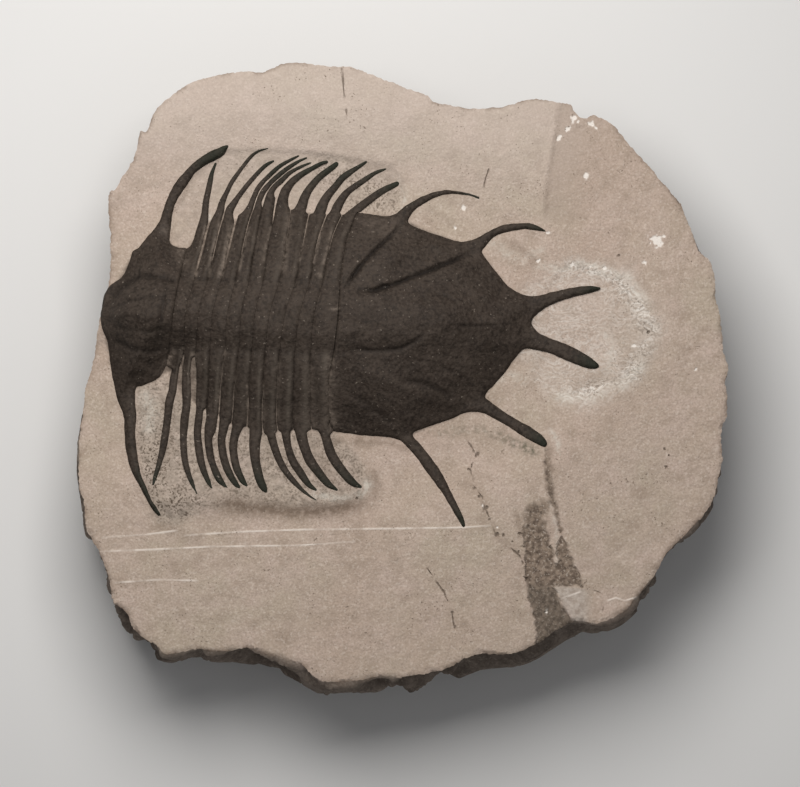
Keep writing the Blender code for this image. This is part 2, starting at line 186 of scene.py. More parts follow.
# Each segment as x, y and width: its upper spine from the tip to the axial furrow, then the lower
# one from the furrow to the tip. A width of FULL takes all the room up to the next segment.
FULL = 30
SEGMENTS_PX = (
    (((216, 161, 2), (212, 171, 4), (210, 180, 5.5), (208, 190, 6), (206, 200, 6.5), (205, 210, 7),
      (204, 218, 8.5), (201, 230, 10), (197, 246, 13), (192, 262, FULL), (189, 278, FULL)),
     ((178, 350, FULL), (177, 362, 9), (174, 380, 8), (173, 390, 8), (170, 401, 8.5), (168, 418, 7.5),
      (165, 440, 7.5), (163, 451, 6.5), (160, 463, 5), (156, 477, 4), (154, 485, 1.5))),
    (((268, 147, 1), (258, 150, 2.5), (250, 156, 3.5), (239, 170, 4), (232, 180, 4.5), (227, 190, 4.8),
      (222, 201, 6.5), (220, 210, 8), (216, 219, 9), (212, 232, 12), (206, 262, FULL), (202, 278, FULL)),
     ((190, 350, 10), (187, 370, 8.2), (187, 388, 9.2), (187, 405, 8.2), (185, 420, 8.5), (184, 438, 7),
      (185, 455, 6.5), (188, 470, 5.8), (193, 483, 4.5), (198, 494, 1.5))),
    (((274, 159, 2), (264, 165, 4), (250, 180, 4.8), (242, 190, 5), (235, 200, 6.2), (229, 210, 9),
      (228, 220, 13), (225, 235, FULL), (219, 262, FULL), (215, 278, FULL)),
     ((203, 350, FULL), (203, 382, FULL), (201, 403, 9.5), (199, 420, 7.8), (198, 433, 7.5), (200, 452, 8),
      (203, 466, 7), (208, 479, 5.5), (213, 489, 2.5))),
    (((299, 154, 1.5), (291, 158, 3), (279, 165, 4), (268, 175, 4.6), (259, 185, 5), (254, 195, 5),
      (250, 206, 7), (246, 214, 11), (241, 228, FULL), (234, 262, FULL), (230, 278, FULL)),
     ((218, 350, FULL), (215, 385, FULL), (213, 412, 13), (211, 427, 12), (209, 438, 8.2), (210, 450, 7.8),
      (213, 463, 7), (220, 479, 7), (229, 489, 2))),
    (((307, 156, 1.5), (298, 160, 3), (287, 167, 4.5), (277, 175, 5), (266, 186, 5.5), (261, 194, 6),
      (258, 203, 8), (256, 213, FULL), (252, 235, FULL), (247, 262, FULL), (244, 278, FULL)),
     ((233, 350, FULL), (228, 385, FULL), (226, 410, 13), (224, 427, 9.5), (222, 440, 8), (224, 456, 8),
      (229, 471, 7.6), (236, 483, 6), (241, 488, 2.5))),
    (((311, 161, 1.5), (301, 165, 3), (290, 171, 4.2), (282, 178, 6), (274, 185, 7), (270, 193, 9.5),
      (268, 203, FULL), (263, 235, FULL), (258, 262, FULL), (257, 278, FULL)),
     ((246, 350, FULL), (242, 385, FULL), (240, 418, 14), (236, 432, 9.2), (234, 442, 8.6), (234, 452, 8),
      (237, 467, 7.8), (243, 480, 6.2), (248, 486, 2))),
    (((328, 160, 2.5), (321, 162, 3.8), (306, 170, 5.5), (298, 175, 6.8), (291, 181, 8.2), (286, 188, 9.5),
      (283, 197, 10.5), (282, 206, 14), (279, 232, FULL), (275, 262, FULL), (273, 278, FULL)),
     ((259, 350, FULL), (257, 385, FULL), (256, 418, 13), (256, 432, 12.3), (255, 446, 11), (256, 461, 9.2),
      (260, 478, 8.8), (264, 487, 7), (267, 492, 2.5))),
    (((338, 161, 4), (332, 166, 5.8), (320, 175, 6.6), (311, 185, 7.5), (305, 195, 9.0), (302, 204, 10.5),
      (299, 212, 13), (297, 235, FULL), (293, 262, FULL), (290, 278, FULL)),
     ((273, 350, FULL), (270, 385, FULL), (269, 418, 11), (271, 432, 8.8), (275, 447, 7.8), (280, 460, 7.2),
      (287, 472, 6.3), (298, 485, 5), (309, 495, 2.5), (317, 500, 1))),
    (((367, 160, 2), (359, 165, 4.2), (344, 175, 6.8), (336, 184, 7), (327, 195, 8.6), (322, 205, 10.6),
      (319, 214, 13), (313, 235, FULL), (307, 262, FULL), (305, 278, FULL)),
     ((288, 350, FULL), (286, 385, FULL), (285, 418, 12), (286, 430, 9.5), (288, 445, 7.4), (293, 460, 8),
      (300, 471, 8), (309, 484, 6), (317, 490, 2))),
    (((390, 166, 1.5), (376, 171, 4), (362, 180, 5.8), (353, 186, 6.3), (345, 193, 7.4), (338, 204, 9.4),
      (334, 214, 11.5), (326, 235, FULL), (320, 262, FULL), (318, 278, FULL)),
     ((303, 350, FULL), (302, 385, FULL), (301, 424, 14), (302, 436, 11.2), (306, 450, 9.8), (311, 461, 10),
      (319, 472, 8.6), (328, 483, 7), (338, 490, 2))),
    (((399, 181, 4.5), (391, 185, 6), (381, 190, 6.9), (367, 200, 7.8), (355, 210, 9.2), (348, 218, 13),
      (340, 236, FULL), (334, 262, FULL), (331, 278, FULL)),
     ((319, 350, FULL), (320, 385, FULL), (321, 420, 15), (325, 433, 9.2), (330, 450, 9.8), (335, 460, 9.8),
      (343, 471, 9.2), (353, 482, 7.5), (362, 487, 2))),
)  # fmt: skip
RING_FORWARD_PX = 3

# The joints from the head's rear margin back to the tail's front one: how wide each is on the
# upper side and how far down it shows, how wide on the lower side and how far up, and how far
# down the gap between the spines reaches on the upper side and up on the lower one
JOINTS_PX = (
    (1.0, 255, 1.5, 350, 246, 366), (2.2, 276, 1.8, 352, 219, 354), (1.1, 270, 4.2, 356, 209, 358),
    (2.0, 272, 0.4, 406, 220, 409), (0.8, 266, 1.2, 352, 193, 416), (0.6, 212, 0.8, 376, 207, 424),
    (1.2, 230, 1.0, 386, 216, 427), (0.5, 262, 0.9, 386, 207, 434), (0.9, 255, 0.8, 362, 212, 431),
    (1.0, 262, 0.4, 412, 213, 430), (0.8, 262, 0.4, 412, 213, 430), (0.2, 225, 0.5, 372, 213, 431),
)  # fmt: skip
GAP_END_PX = 2.8  # the plates widen to their joint over this length
SPINE_HEIGHT_PX = 4.5  # wide plates are no higher than a spine this wide from its middle
JOINT_FADE_PX = 16
JOINT_LAP_PX = 0.5  # closed joints overlap by this much
JOINT_LOOK_PX = 12  # a joint is looked up at most this far from the middle of the plate
BAND_BRIGHT_PX = 335  # the bands are painted paler below this y, as painted light that lifts the shade of the lower side

STATION_PX = 1.8
ACROSS = 17


def smooth(t):
    """An even ramp from 0 to 1, level at both ends."""
    t = np.clip(t, 0, 1)
    return t * t * (3 - 2 * t)


def arch(t):
    """A ramp from 0 to 1, level at both ends, that rises early and is round at the top."""
    t = np.clip(t, 0, 1)
    return np.sin(math.pi / 2 * 1.1 * t * t / (t + 0.1))


def bump(distance, reach):
    """A round hump, 1 in the middle and almost 0 past its reach."""
    return np.exp(-((distance / reach) ** 2) * 2)


def place(points, heights):
    """Picture points and heights as x, y and z in the frame."""
    x = MATRIX_LOW.x + (points[:, 0] - MATRIX_LEFT_PX) * PIXEL
    y = MATRIX_HIGH.y - (points[:, 1] - MATRIX_TOP_PX) * PIXEL
    return np.column_stack([x, y, heights])


def nearest(points, line):
    """Distance from each point to a line of points, and how far along it the nearest place is, 0 to 1."""
    line = np.asarray(line, float)
    lengths = np.hypot(*np.diff(line, axis=0).T)
    starts = np.concatenate([[0], np.cumsum(lengths)])
    x, y = np.ascontiguousarray(points.T)
    best = np.full(len(points), np.inf)
    along = np.zeros(len(points))
    for (ax, ay), (bx, by), length, start in zip(line[:-1], line[1:], lengths, starts):
        dx, dy = bx - ax, by - ay
        share = ((x - ax) * dx + (y - ay) * dy) / max(length**2, 1e-9)
        share = np.minimum(np.maximum(share, 0), 1)
        away = (x - ax - share * dx) ** 2 + (y - ay - share * dy) ** 2
        closer = away < best
        best = np.where(closer, away, best)
        along = np.where(closer, start + share * length, along)
    return np.sqrt(best), along / starts[-1]


def nearest_spot(points, spots):
    """Distance from each point to the nearest of many spots."""
    tree = KDTree(len(spots))
    for index, (x, y) in enumerate(spots):
        tree.insert((x, y, 0), index)
    tree.balance()
    return np.array([tree.find((x, y, 0))[2] for x, y in points.tolist()])


def depth_inside(points, outline):
    """Distance to a closed outline, positive inside it."""
    distance = nearest(points, np.vstack([outline, outline[:1]]))[0]
    return np.where(is_inside(points, outline), distance, -distance)


def is_inside(points, outline):
    ring = np.vstack([outline, outline[:1]]).astype(float)
    inside = np.zeros(len(points), bool)
    for a, b in zip(ring[:-1], ring[1:]):
        spans = (a[1] > points[:, 1]) != (b[1] > points[:, 1])
        run = (b[0] - a[0]) / ((b[1] - a[1]) or 1.0)
        inside ^= spans & (points[:, 0] < a[0] + (points[:, 1] - a[1]) * run)
    return inside


def curve_through(points, spacing, closed=False):
    """Evenly spaced points on a smooth curve through these, whose further columns are carried along."""
    points = np.asarray(points, float)
    if closed:
        padded = np.vstack([points[-1], points, points[:2]])
    else:
        padded = np.vstack([2 * points[0] - points[1], points, 2 * points[-1] - points[-2]])
    dense = []
    for before, start, end, after in zip(padded[:-3], padded[1:-2], padded[2:-1], padded[3:]):
        t = np.linspace(0, 1, 12, endpoint=False)[:, None]
        bend = 2 * before - 5 * start + 4 * end - after
        twist = 3 * start - before - 3 * end + after
        dense.append(start + 0.5 * (t * (end - before) + t**2 * bend + t**3 * twist))
    dense = np.vstack([*dense, padded[-2:-1]])
    run = np.concatenate([[0], np.cumsum(np.hypot(*np.diff(dense[:, :2], axis=0).T))])
    steps = np.linspace(0, run[-1], round(run[-1] / spacing) + 1)
    if closed:
        steps = steps[:-1]
    return np.column_stack([np.interp(steps, run, column) for column in dense.T])


NOISE_CELLS = 32
NOISE_TABLE = np.random.default_rng(7).uniform(-1, 1, (NOISE_CELLS,) * 3)


def noise(spots, size, seed=0):
    """Smooth noise from -1 to 1 at 3-D spots, with features of about this size."""
    cell = spots / size + 7.31 * (seed + 1)
    low = np.floor(cell).astype(int)
    t = cell - low
    t = t * t * (3 - 2 * t)
    total = np.zeros(len(spots))
    for corner in itertools.product((0, 1), repeat=3):
        weight = np.prod(np.where(corner, t, 1 - t), axis=1)
        total += weight * NOISE_TABLE[tuple(((low + corner) % NOISE_CELLS).T)]
    return total


def rough_noise(spots, size, seed=0, octaves=3):
    """Noise with finer noise on it."""
    return sum(noise(spots, size / 2**i, seed + i) / 1.8**i for i in range(octaves)) / 1.6


def flat(points):
    """Picture points as 3-D spots for the noise."""
    return np.column_stack([points, np.zeros(len(points))])


def wander(points, size, seed):
    """Shifts in x and y that vary smoothly along the points."""
    return np.column_stack([noise(flat(points), size, seed), noise(flat(points), size, seed + 1)])


def faded_ends(along, steepness, start):
    """1 along a line, fading towards both of its ends."""
    return smooth(steepness * np.minimum(along, 1 - along) + start)


def streaks(points, rows, shake=0, size=1, seed=0):
    """The strongest of several soft streaks at each point, each a line with its reach and amount."""
    total = np.zeros(len(points))
    shift = shake * noise(flat(points), size, seed)
    for line, reach, amount in rows:
        total = np.maximum(total, amount * bump(nearest(points, line)[0] + shift, reach))
    return total


def sideways(line):
    """Directions square to a line of points, at each of them."""
    along = np.gradient(line, axis=0)
    along /= np.hypot(*along.T)[:, None]
    return np.column_stack([-along[:, 1], along[:, 0]])


# Zones and marks of the rock
LOWER_ROUGH_PX = (
    (137, 388), (165, 374), (176, 392), (215, 420), (262, 428), (332, 432), (352, 448), (372, 482),
    (364, 498), (335, 506), (262, 508), (205, 508), (176, 524), (160, 520), (146, 484), (137, 440),
)  # fmt: skip
UPPER_ROUGH_PX = (
    (171, 243), (173, 212), (194, 174), (226, 149), (262, 149), (305, 151), (345, 156), (392, 165),
    (404, 182), (404, 202), (394, 214), (360, 212), (320, 212), (270, 208), (232, 216), (205, 228),
    (188, 248),
)  # fmt: skip
PLATEAU_PX = (
    (137, 392), (170, 380), (200, 404), (260, 424), (330, 428), (346, 444), (366, 474), (364, 494),
    (338, 502), (262, 503), (208, 502), (190, 500), (172, 505), (160, 500), (148, 480), (138, 440),
)  # fmt: skip
ABRADED_CENTRE_PX = (583, 331)
ABRADED_RADIUS_PX = 66
RING_FROM_PX = 515  # the abraded ring shows right of this x
LIP_FROM_PX = 520  # and its lip right of this one
STAIN_AND_SHADE_PX = ((432, 432), (462, 428), (484, 429), (503, 436), (520, 445), (533, 450))
SMUDGES_AND_SHADE_PX = (
    # brown smudges as lines with reach and amount: some dirt, and painted shade beside the lower spines,
    # beside the trench, under the arcs of the tail's spines and along the tail's lower margin
    (((508, 239), (520, 247), (534, 259)), 6.0, 0.45),
    (((428, 206), (440, 214), (452, 222)), 5.0, 0.25),
    (((158, 524), (178, 533), (198, 540)), 8.0, 0.35),
    (((544, 442), (548, 450), (551, 470)), 3.5, 0.60),
    (((494, 528), (508, 545), (524, 556)), 7.0, 0.28),
    (((514, 508), (518, 520), (519, 536)), 4.0, 0.35),
    (((345, 158), (375, 166), (398, 182)), 5.0, 0.22),
    (((374, 470), (377, 484), (372, 496)), 6.0, 0.55),
    (((336, 441), (350, 440), (392, 443), (408, 448)), 5.0, 0.50),
    (((557, 110), (554, 140), (548, 180), (545, 214)), 2.2, 0.32),
    (((410, 216), (417, 203), (432, 195), (446, 193)), 5.5, 0.32),
    (((204, 420), (210, 448), (220, 480)), 9.0, 0.30),
    (((312, 425), (320, 455), (336, 482)), 9.0, 0.24),
    (((172, 420), (170, 450), (164, 476)), 7.0, 0.22),
    (((572, 392), (590, 380), (604, 372)), 6.0, 0.25),
)
SPECKED_PX = (
    ((150, 440), (158, 500), (190, 512)),
    ((330, 170), (372, 190), (392, 200)),
    ((360, 205), (394, 205)),
)
SPECKED_REACH_PX = 26
# the trench below the lower spines, whose brown tone is painted shade
TRENCH_PX = ((206, 502), (232, 505), (262, 509), (300, 512), (332, 510), (356, 504), (372, 492))
PATCH_PX = (
    (529, 506), (544, 503), (544, 516), (546, 530), (549, 545), (553, 556), (553, 567), (557, 562),
    (557, 545), (561, 532), (570, 557), (577, 571), (584, 588), (576, 586), (566, 585), (556, 586),
    (557, 597), (563, 607), (573, 620), (573, 640), (536, 660), (536, 628), (533, 610), (529, 603),
    (527, 586), (524, 573), (526, 553), (522, 535), (525, 516),
)  # fmt: skip
PATCH_FUZZY_PX = 532  # the patch has a soft edge above this y
PATCH_SUNK_PX = 486  # and is sunk below this one
SOOT_FROM_PX = 578  # and sooty below this one
PALE_AND_HIGHLIGHT_PX = (
    (((316, 494), (340, 499), (360, 495), (368, 484)), 6.0, 0.75),
    (((550, 430), (557, 440), (558, 453)), 3.2, 0.80),
    (((536, 264), (560, 269), (585, 263), (606, 268)), 5.0, 0.60),
    (((145, 396), (152, 408), (150, 426)), 9.0, 0.60),
    (((497, 380), (510, 373), (524, 380)), 5.0, 0.50),
    (((492, 240), (505, 252), (524, 258), (540, 250)), 8.0, 0.45),
    (((600, 270), (626, 276), (645, 300)), 7.0, 0.60),
    (((560, 396), (590, 398), (620, 386), (640, 366)), 7.0, 0.55),
    (((604, 330), (612, 350), (608, 372)), 9.0, 0.40),
    (((398, 180), (406, 192), (403, 206)), 2.0, 0.60),
    (((548, 500), (556, 530), (556, 566)), 2.2, 0.60),
    # a painted highlight at the end of a wedge between the upper spines
    (((210, 217), (210, 214)), 2.6, 0.90),
)
ISLAND_PX = (
    (555, 587), (562, 585), (581, 588), (597, 591), (604, 597), (600, 621), (583, 622), (571, 619),
    (562, 603),
)  # fmt: skip
ISLAND_WORN_PX = 594  # the island is worn left of this x
FINE_ZONES_PX = (LOWER_ROUGH_PX, UPPER_ROUGH_PX, PATCH_PX, ISLAND_PX)
DARK_STRIP_PX = ((545, 450), (546, 462), (548, 476), (550, 492), (555, 508), (558, 520), (561, 532))
VEINS_PX = (
    ((186, 535), (197, 534), (246, 531), (305, 529), (398, 528), (463, 527), (490, 525)),
    ((101, 551), (153, 549), (212, 546), (298, 545), (355, 541)),
    ((103, 537), (147, 534), (178, 530)),
    ((116, 582), (160, 579), (199, 580)),
    ((560, 598), (569, 595), (580, 591)),
    ((606, 600), (615, 597), (624, 600), (636, 596)),
)
CRACKS_PX = (
    ((462, 433), (471, 445), (476, 454), (470, 469), (475, 487), (482, 497), (485, 509), (490, 519),
     (494, 531), (510, 547), (519, 555), (523, 563), (526, 575)),
    ((428, 569), (444, 592), (451, 608), (454, 626), (461, 636), (464, 650)),
    ((580, 586), (590, 589), (599, 592), (604, 597), (602, 610)),
    ((342, 66), (344, 93), (347, 116), (349, 138)),
    ((484, 184), (486, 176), (489, 169)),
)  # fmt: skip
PITS_PX = (
    (476, 454, 1.5), (468, 468, 1.0), (475, 487, 1.1), (479, 496, 1.2), (485, 508, 2.2), (489, 519, 1.1),
    (496, 534, 2.4), (503, 535, 1.4), (518, 551, 1.2), (522, 562, 1.4), (526, 578, 1.1), (512, 541, 0.8),
    (443, 590, 1.0), (452, 612, 1.0), (455, 626, 1.0), (546, 611, 1.0), (619, 255, 0.8), (664, 449, 1.1),
    (668, 455, 0.8), (665, 466, 1.0), (519, 533, 1.0), (524, 546, 1.0), (357, 498, 1.0), (648, 332, 1.5),
)  # fmt: skip
CHIPS_PX = (
    (655, 239, 4.2), (574, 117, 2.6), (591, 123, 2.8), (568, 128, 2.3), (559, 137, 2.1), (586, 175, 1.9),
    (464, 207, 1.8), (455, 227, 1.2), (538, 260, 2.0), (695, 369, 1.2), (645, 262, 1.3), (634, 345, 1.5),
    (604, 268, 1.6), (590, 266, 1.4), (572, 264, 1.4), (482, 505, 1.2), (497, 527, 1.3), (548, 232, 1.4),
    (659, 242, 3.4), (578, 121, 1.4), (596, 127, 1.3), (583, 113, 1.2), (546, 611, 1.3), (664, 236, 1.6),
)  # fmt: skip
STEP_PX = ((560, 103), (558, 121), (551, 160), (546, 188), (544, 213))
STEP_ENDS_PX = (92, 228)  # the step fades out towards these two y
PALER_TO_PX = 250  # the ground is paler above this y


def bed(points):
    """Height of the prepared rock without its grain, which the plates lie on."""
    inside = depth_inside(points, BODY_MARGIN_PX)
    crown = np.interp(points[:, 0], HEAD_SPAN_PX, (HEAD_CROWN_PX, CROWN_PX))
    dish = DISH_DEPTH * (1 - smooth((-inside - DISH_PX) / DISH_SLOPE_PX))
    swell = BODY_RISE * arch(inside / crown)
    fill = JOINT_FILL * smooth((inside + FILL_START_PX) / FILL_RAMP_PX)
    plateau = PLATEAU_RISE * smooth(depth_inside(points, PLATEAU_PX) / PLATEAU_SLOPE_PX + 0.85)
    pit = PIT_DEPTH * smooth(depth_inside(points, UPPER_ROUGH_PX) / PIT_SLOPE_PX + 0.5)
    return RIM_HEIGHT - dish + swell + fill + axial_lift(points) + plateau - pit


def axial_lift(points):
    """How far the axial lobe arches over the side lobes."""
    fade = 1 - smooth((points[:, 0] - AXIS_END_PX) / AXIS_FADE_PX)
    return AXIS_RISE * smooth(AXIS_STEEPNESS * (1 - axis_offset(points) / AXIS_HALF_PX)) * fade


def axis_offset(points):
    line = np.array(AXIS_LINE_PX, float)
    return np.abs(points[:, 1] - np.interp(points[:, 0], line[:, 0], line[:, 1]))


def triangulate(ring, inner):
    """Triangles inside a ring of points, through the inner points too."""
    corners = [Vector(spot) for spot in np.vstack([ring, inner])]
    made = delaunay_2d_cdt(corners, [], [list(range(len(ring)))], 1, 1e-6, False)
    points = np.array([list(spot) for spot in made[0]])
    triangles = np.array(made[2])
    on_rim = np.all(triangles < len(ring), axis=1)
    outside = np.zeros(len(triangles), bool)
    outside[on_rim] = ~is_inside(points[triangles[on_rim]].mean(axis=1), ring)
    triangles = triangles[~outside]
    a, b, c = (points[triangles[:, i]] for i in range(3))
    turn = (b[:, 0] - a[:, 0]) * (c[:, 1] - a[:, 1]) - (b[:, 1] - a[:, 1]) * (c[:, 0] - a[:, 0])
    triangles[turn > 0] = triangles[turn > 0][:, ::-1]
    return points, triangles


def lattice(low, high, spacing, rng):
    """Points on a staggered grid, each shaken a little."""
    rows = np.arange(low[1], high[1], spacing * math.sqrt(3) / 2)
    columns = np.arange(low[0], high[0], spacing)
    x, y = np.meshgrid(columns, rows)
    x = x + (np.arange(len(rows)) % 2)[:, None] * spacing / 2
    points = np.column_stack([x.ravel(), y.ravel()])
    return points + rng.uniform(-0.22, 0.22, points.shape) * spacing


def add_piece(name, spots, faces, finish, nodes, tones, crease=70):
    """A mesh piece on the root body, with its tones as attributes for its material."""
    mesh = bpy.data.meshes.new(name)
    mesh.from_pydata(spots.tolist(), [], [list(map(int, face)) for face in faces])
    mesh.validate()
    turned = bmesh.new()
    turned.from_mesh(mesh)
    bmesh.ops.recalc_face_normals(turned, faces=turned.faces)
    turned.to_mesh(mesh)
    turned.free()
    mesh.shade_smooth()
    mesh.set_sharp_from_angle(angle=math.radians(crease))
    for key, values in tones.items():
        layer = mesh.attributes.new(key, "FLOAT", "POINT")
        layer.data.foreach_set("value", np.asarray(values, np.float32))
    mesh.materials.append(finish)
    piece = bpy.data.objects.new(name, mesh)
    bpy.context.scene.collection.objects.link(piece)
    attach(piece, "root")
    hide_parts(*nodes)
    return piece


# Relief of the two shields: lines with the reach and the depth of a groove, or height of a ridge
PYGIDIUM_RELIEF = (
    (((346, 288), (361, 267), (377, 249), (393, 234), (402, 222)), 3.4, -0.00070),
    (((360, 292), (372, 293), (389, 288), (412, 279), (433, 270), (453, 261), (470, 252)), 3.6, -0.00062),
    (((352, 351), (375, 353), (400, 351), (416, 343), (425, 335)), 3.2, -0.00036),
    (((455, 327), (470, 328), (496, 326)), 2.2, -0.00025),
    (((403, 382), (420, 384), (436, 389), (452, 397)), 4.0, -0.00030),
    (((412, 361), (424, 363)), 2.5, -0.00022),
    (((441, 368), (455, 374)), 2.5, -0.00025),
    (((436, 297), (448, 299), (458, 306)), 2.5, -0.00025),
    (((350, 395), (375, 410), (392, 424)), 5.0, -0.00020),
    (((366, 262), (382, 245), (398, 228), (412, 210)), 7.0, 0.00022),
    (((380, 270), (405, 252), (430, 244), (452, 246)), 10.0, 0.00045),
    (((420, 290), (450, 277), (480, 266)), 10.0, 0.00030),
    (((350, 322), (390, 322), (430, 322), (470, 325)), 20.0, 0.00028),
    (((360, 370), (400, 390), (440, 402), (470, 404)), 12.0, 0.00035),
    (((350, 400), (370, 420), (400, 432)), 9.0, 0.00020),
    (((480, 345), (505, 345), (530, 340)), 9.0, 0.00022),
    (((480, 300), (505, 300), (530, 303)), 9.0, 0.00022),
)
CEPHALON_RELIEF = (
    (((176, 283), (160, 279), (142, 277), (126, 284), (114, 296)), 4.0, -0.00035),
    (((168, 349), (150, 353), (130, 349), (114, 338)), 4.0, -0.00035),
    (((168, 300), (150, 299), (132, 302), (116, 308)), 3.0, -0.00022),
    (((168, 331), (150, 334), (132, 332), (114, 326)), 3.0, -0.00022),
    (((168, 286), (163, 316), (159, 346)), 3.5, -0.00030),
    (((172, 281), (175, 284)), 3.5, -0.00050),
    (((122, 318), (140, 319)), 2.0, -0.00018),
    (((160, 262), (150, 256), (140, 262)), 8.0, 0.00030),
    (((148, 367), (136, 371), (126, 366)), 8.0, 0.00030),
    (((110, 315), (135, 316), (158, 316)), 13.0, 0.00055),
    (((165, 235), (169, 216), (180, 192)), 4.0, 0.00015),
    (((128, 392), (130, 420), (132, 450)), 5.0, 0.00015),
)
SHIELD_CELL_PX = 1.45
SHIELD_EDGE_PX = 1.2
EDGE_WANDER_PX = 0.35
MARGIN_ROUND_PX = 5.5
SHIELD_FULL_PX = 12  # lobes and furrows are at their full height this far in
TIPS_PX = (
    [side[0][:2] for side, _ in SEGMENTS_PX]
    + [side[-1][:2] for _, side in SEGMENTS_PX]
    + [(228, 145), (161, 516), (480, 198), (546, 230), (600, 287), (597, 367), (547, 445), (464, 528)]
)
TIP_REACH_PX = 34


def tip_tone(points):
    """1 at the ends of the spines, which are greenish black, and 0 away from them."""
    away = np.min([np.hypot(points[:, 0] - x, points[:, 1] - y) for x, y in TIPS_PX], axis=0)
    return 1 - smooth(away / TIP_REACH_PX)


def shell_grain(points):
    """The unevenness of the shell, in metres: low swellings with fine granules on them."""
    spots = flat(points)
    granules = np.maximum(0, noise(spots, 3.4, 5) - 0.15)
    swellings = SWELLING_HEIGHT * rough_noise(spots, 14, 3) + FINE_SWELLING_HEIGHT * noise(spots, 5.5, 6)
    return swellings + GRANULE_HEIGHT * granules


def shield(name, outline, relief, node, finish, seed):
    """A head or tail shield: a closed plate with a rounded margin, lobes, furrows and grain."""
    rng = np.random.default_rng(seed)
    ring = curve_through(outline, SHIELD_EDGE_PX, closed=True)
    ring += EDGE_WANDER_PX * wander(ring, 4, seed)
    inner = lattice(ring.min(axis=0), ring.max(axis=0), SHIELD_CELL_PX, rng)
    inner = inner[is_inside(inner, outline) & (nearest_spot(inner, ring) > 0.75 * SHIELD_CELL_PX)]
    points, triangles = triangulate(ring, inner)
    inside = nearest_spot(points, ring)
    share = np.clip(inside / MARGIN_ROUND_PX, 0, 1)
    full = smooth(inside / SHIELD_FULL_PX)
    top = bed(points) + MARGIN_HEIGHT * np.sqrt(1 - (1 - share) ** 2)
    top += LUMP_HEIGHT * rough_noise(flat(points), 30, 8) * full
    groove_shade = np.zeros(len(points))
    shift = 0.8 * noise(flat(points), 8, 9)
    for line, reach, height in relief:
        away, along = nearest(points, line)
        shape = bump(away + shift, reach) * faded_ends(along, 4, 0.35)
        top += height * shape * np.maximum(full, 0.3)
        # painted shade in the groove, darker the deeper the groove
        groove_shade = np.maximum(groove_shade, min(1, -height / DARKEST_GROOVE_SHADE) * shape)
    top += shell_grain(points) * np.minimum(1, inside / 2)
    low = bed(points) - PLATE_DEPTH

    count = len(points)
    spots = np.vstack([place(points, top), place(points, low)])
    rim = np.arange(len(ring))
    after = np.roll(rim, -1)
    skirt = np.column_stack([rim, after, after + count, rim + count])
    if signed_area(ring) > 0:
        skirt = skirt[:, ::-1]
    faces = [*triangles, *(triangles[:, ::-1] + count), *skirt]
    tones = {"tip": tip_tone(points), "dust": streaks(points, DUSTY_PX), "groove_shade": groove_shade}
    tones["band"] = np.zeros(count)
    tones = {key: np.tile(values, 2) for key, values in tones.items()}
    return add_piece(name, spots, faces, finish, [node], tones)


def signed_area(ring):
    """Twice the area of a ring, with the sign of the way it runs."""
    x, y = ring.T
    return np.sum(x * np.roll(y, -1) - y * np.roll(x, -1))


# Pale matrix that clings to the shell, as lines with their reach and amount
DUSTY_PX = (
    (((331, 362), (330, 400), (332, 428)), 7.0, 0.30),
    (((180, 250), (184, 262)), 8.0, 0.25),
    (((165, 228), (172, 236)), 8.0, 0.22),
    (((372, 224), (392, 228)), 14.0, 0.12),
    (((194, 356), (194, 404)), 5.0, 0.35),
    (((164, 374), (168, 362), (174, 352)), 4.5, 0.55),
    (((181, 384), (184, 350)), 2.6, 0.40),
    (((206, 226), (200, 260), (196, 278)), 2.6, 0.55),
    (((220, 222), (212, 255), (210, 276)), 2.2, 0.40),
    (((232, 226), (226, 258), (221, 276)), 4.0, 0.60),
    (((249, 226), (243, 255), (240, 272)), 2.0, 0.40),
    (((271, 226), (266, 248), (264, 262)), 1.8, 0.30),
    (((290, 214), (287, 240), (284, 270)), 5.0, 0.28),
    (((307, 222), (303, 246), (300, 262)), 2.0, 0.40),
    (((322, 226), (317, 250), (314, 264)), 2.0, 0.55),
    (((333, 228), (328, 248), (324, 265)), 2.2, 0.40),
    (((226, 352), (222, 378), (219, 402)), 2.0, 0.45),
    (((236, 378), (233, 410)), 1.8, 0.25),
    (((248, 386), (248, 426)), 1.8, 0.40),
    (((264, 386), (264, 430)), 1.6, 0.30),
    (((279, 364), (278, 392), (277, 430)), 3.2, 0.25),
    (((311, 372), (312, 425)), 6.0, 0.18),
    (((319, 276), (321, 278)), 2.6, 0.40),
    (((333, 312), (338, 311)), 2.0, 0.80),
)


def segment_lines():
    """Stations along each segment, as x, y and width, from one spine's tip to the other's."""
    lines = []
    for upper, lower in SEGMENTS_PX:
        middle = (
            (upper[-1][0] + lower[0][0]) / 2 - RING_FORWARD_PX,
            (upper[-1][1] + lower[0][1]) / 2,
            FULL,
        )
        lines.append(with_round_ends(curve_through([*upper, middle, *lower], STATION_PX)))
    return lines


def with_round_ends(line):
    """The same stations with a few more at each end, narrowed there so that the spines end round."""
    run = np.concatenate([[0], np.cumsum(np.hypot(*np.diff(line[:, :2], axis=0).T))])
    close = np.array([0.12, 0.45, 1.0])
    steps = np.sort(np.concatenate([run, close, run[-1] - close]))
    line = np.column_stack([np.interp(steps, run, column) for column in line.T])
    from_end = np.minimum(steps, run[-1] - steps)
    radius = np.maximum(line[:, 2] / 2, 0.4)
    share = np.minimum(from_end / radius, 1)
    line[:, 2] *= np.sqrt(np.maximum(1 - (1 - share) ** 2, 0.01))
    return line


def joint_width(points, joint):
    """The width of one joint at points beside it: negative where it is closed."""
    upper, upper_end, lower, lower_start = joint[:4]
    above = smooth((upper_end - points[:, 1]) / JOINT_FADE_PX)
    below = smooth((points[:, 1] - lower_start) / JOINT_FADE_PX)
    return (upper + JOINT_LAP_PX) * above + (lower + JOINT_LAP_PX) * below - JOINT_LAP_PX


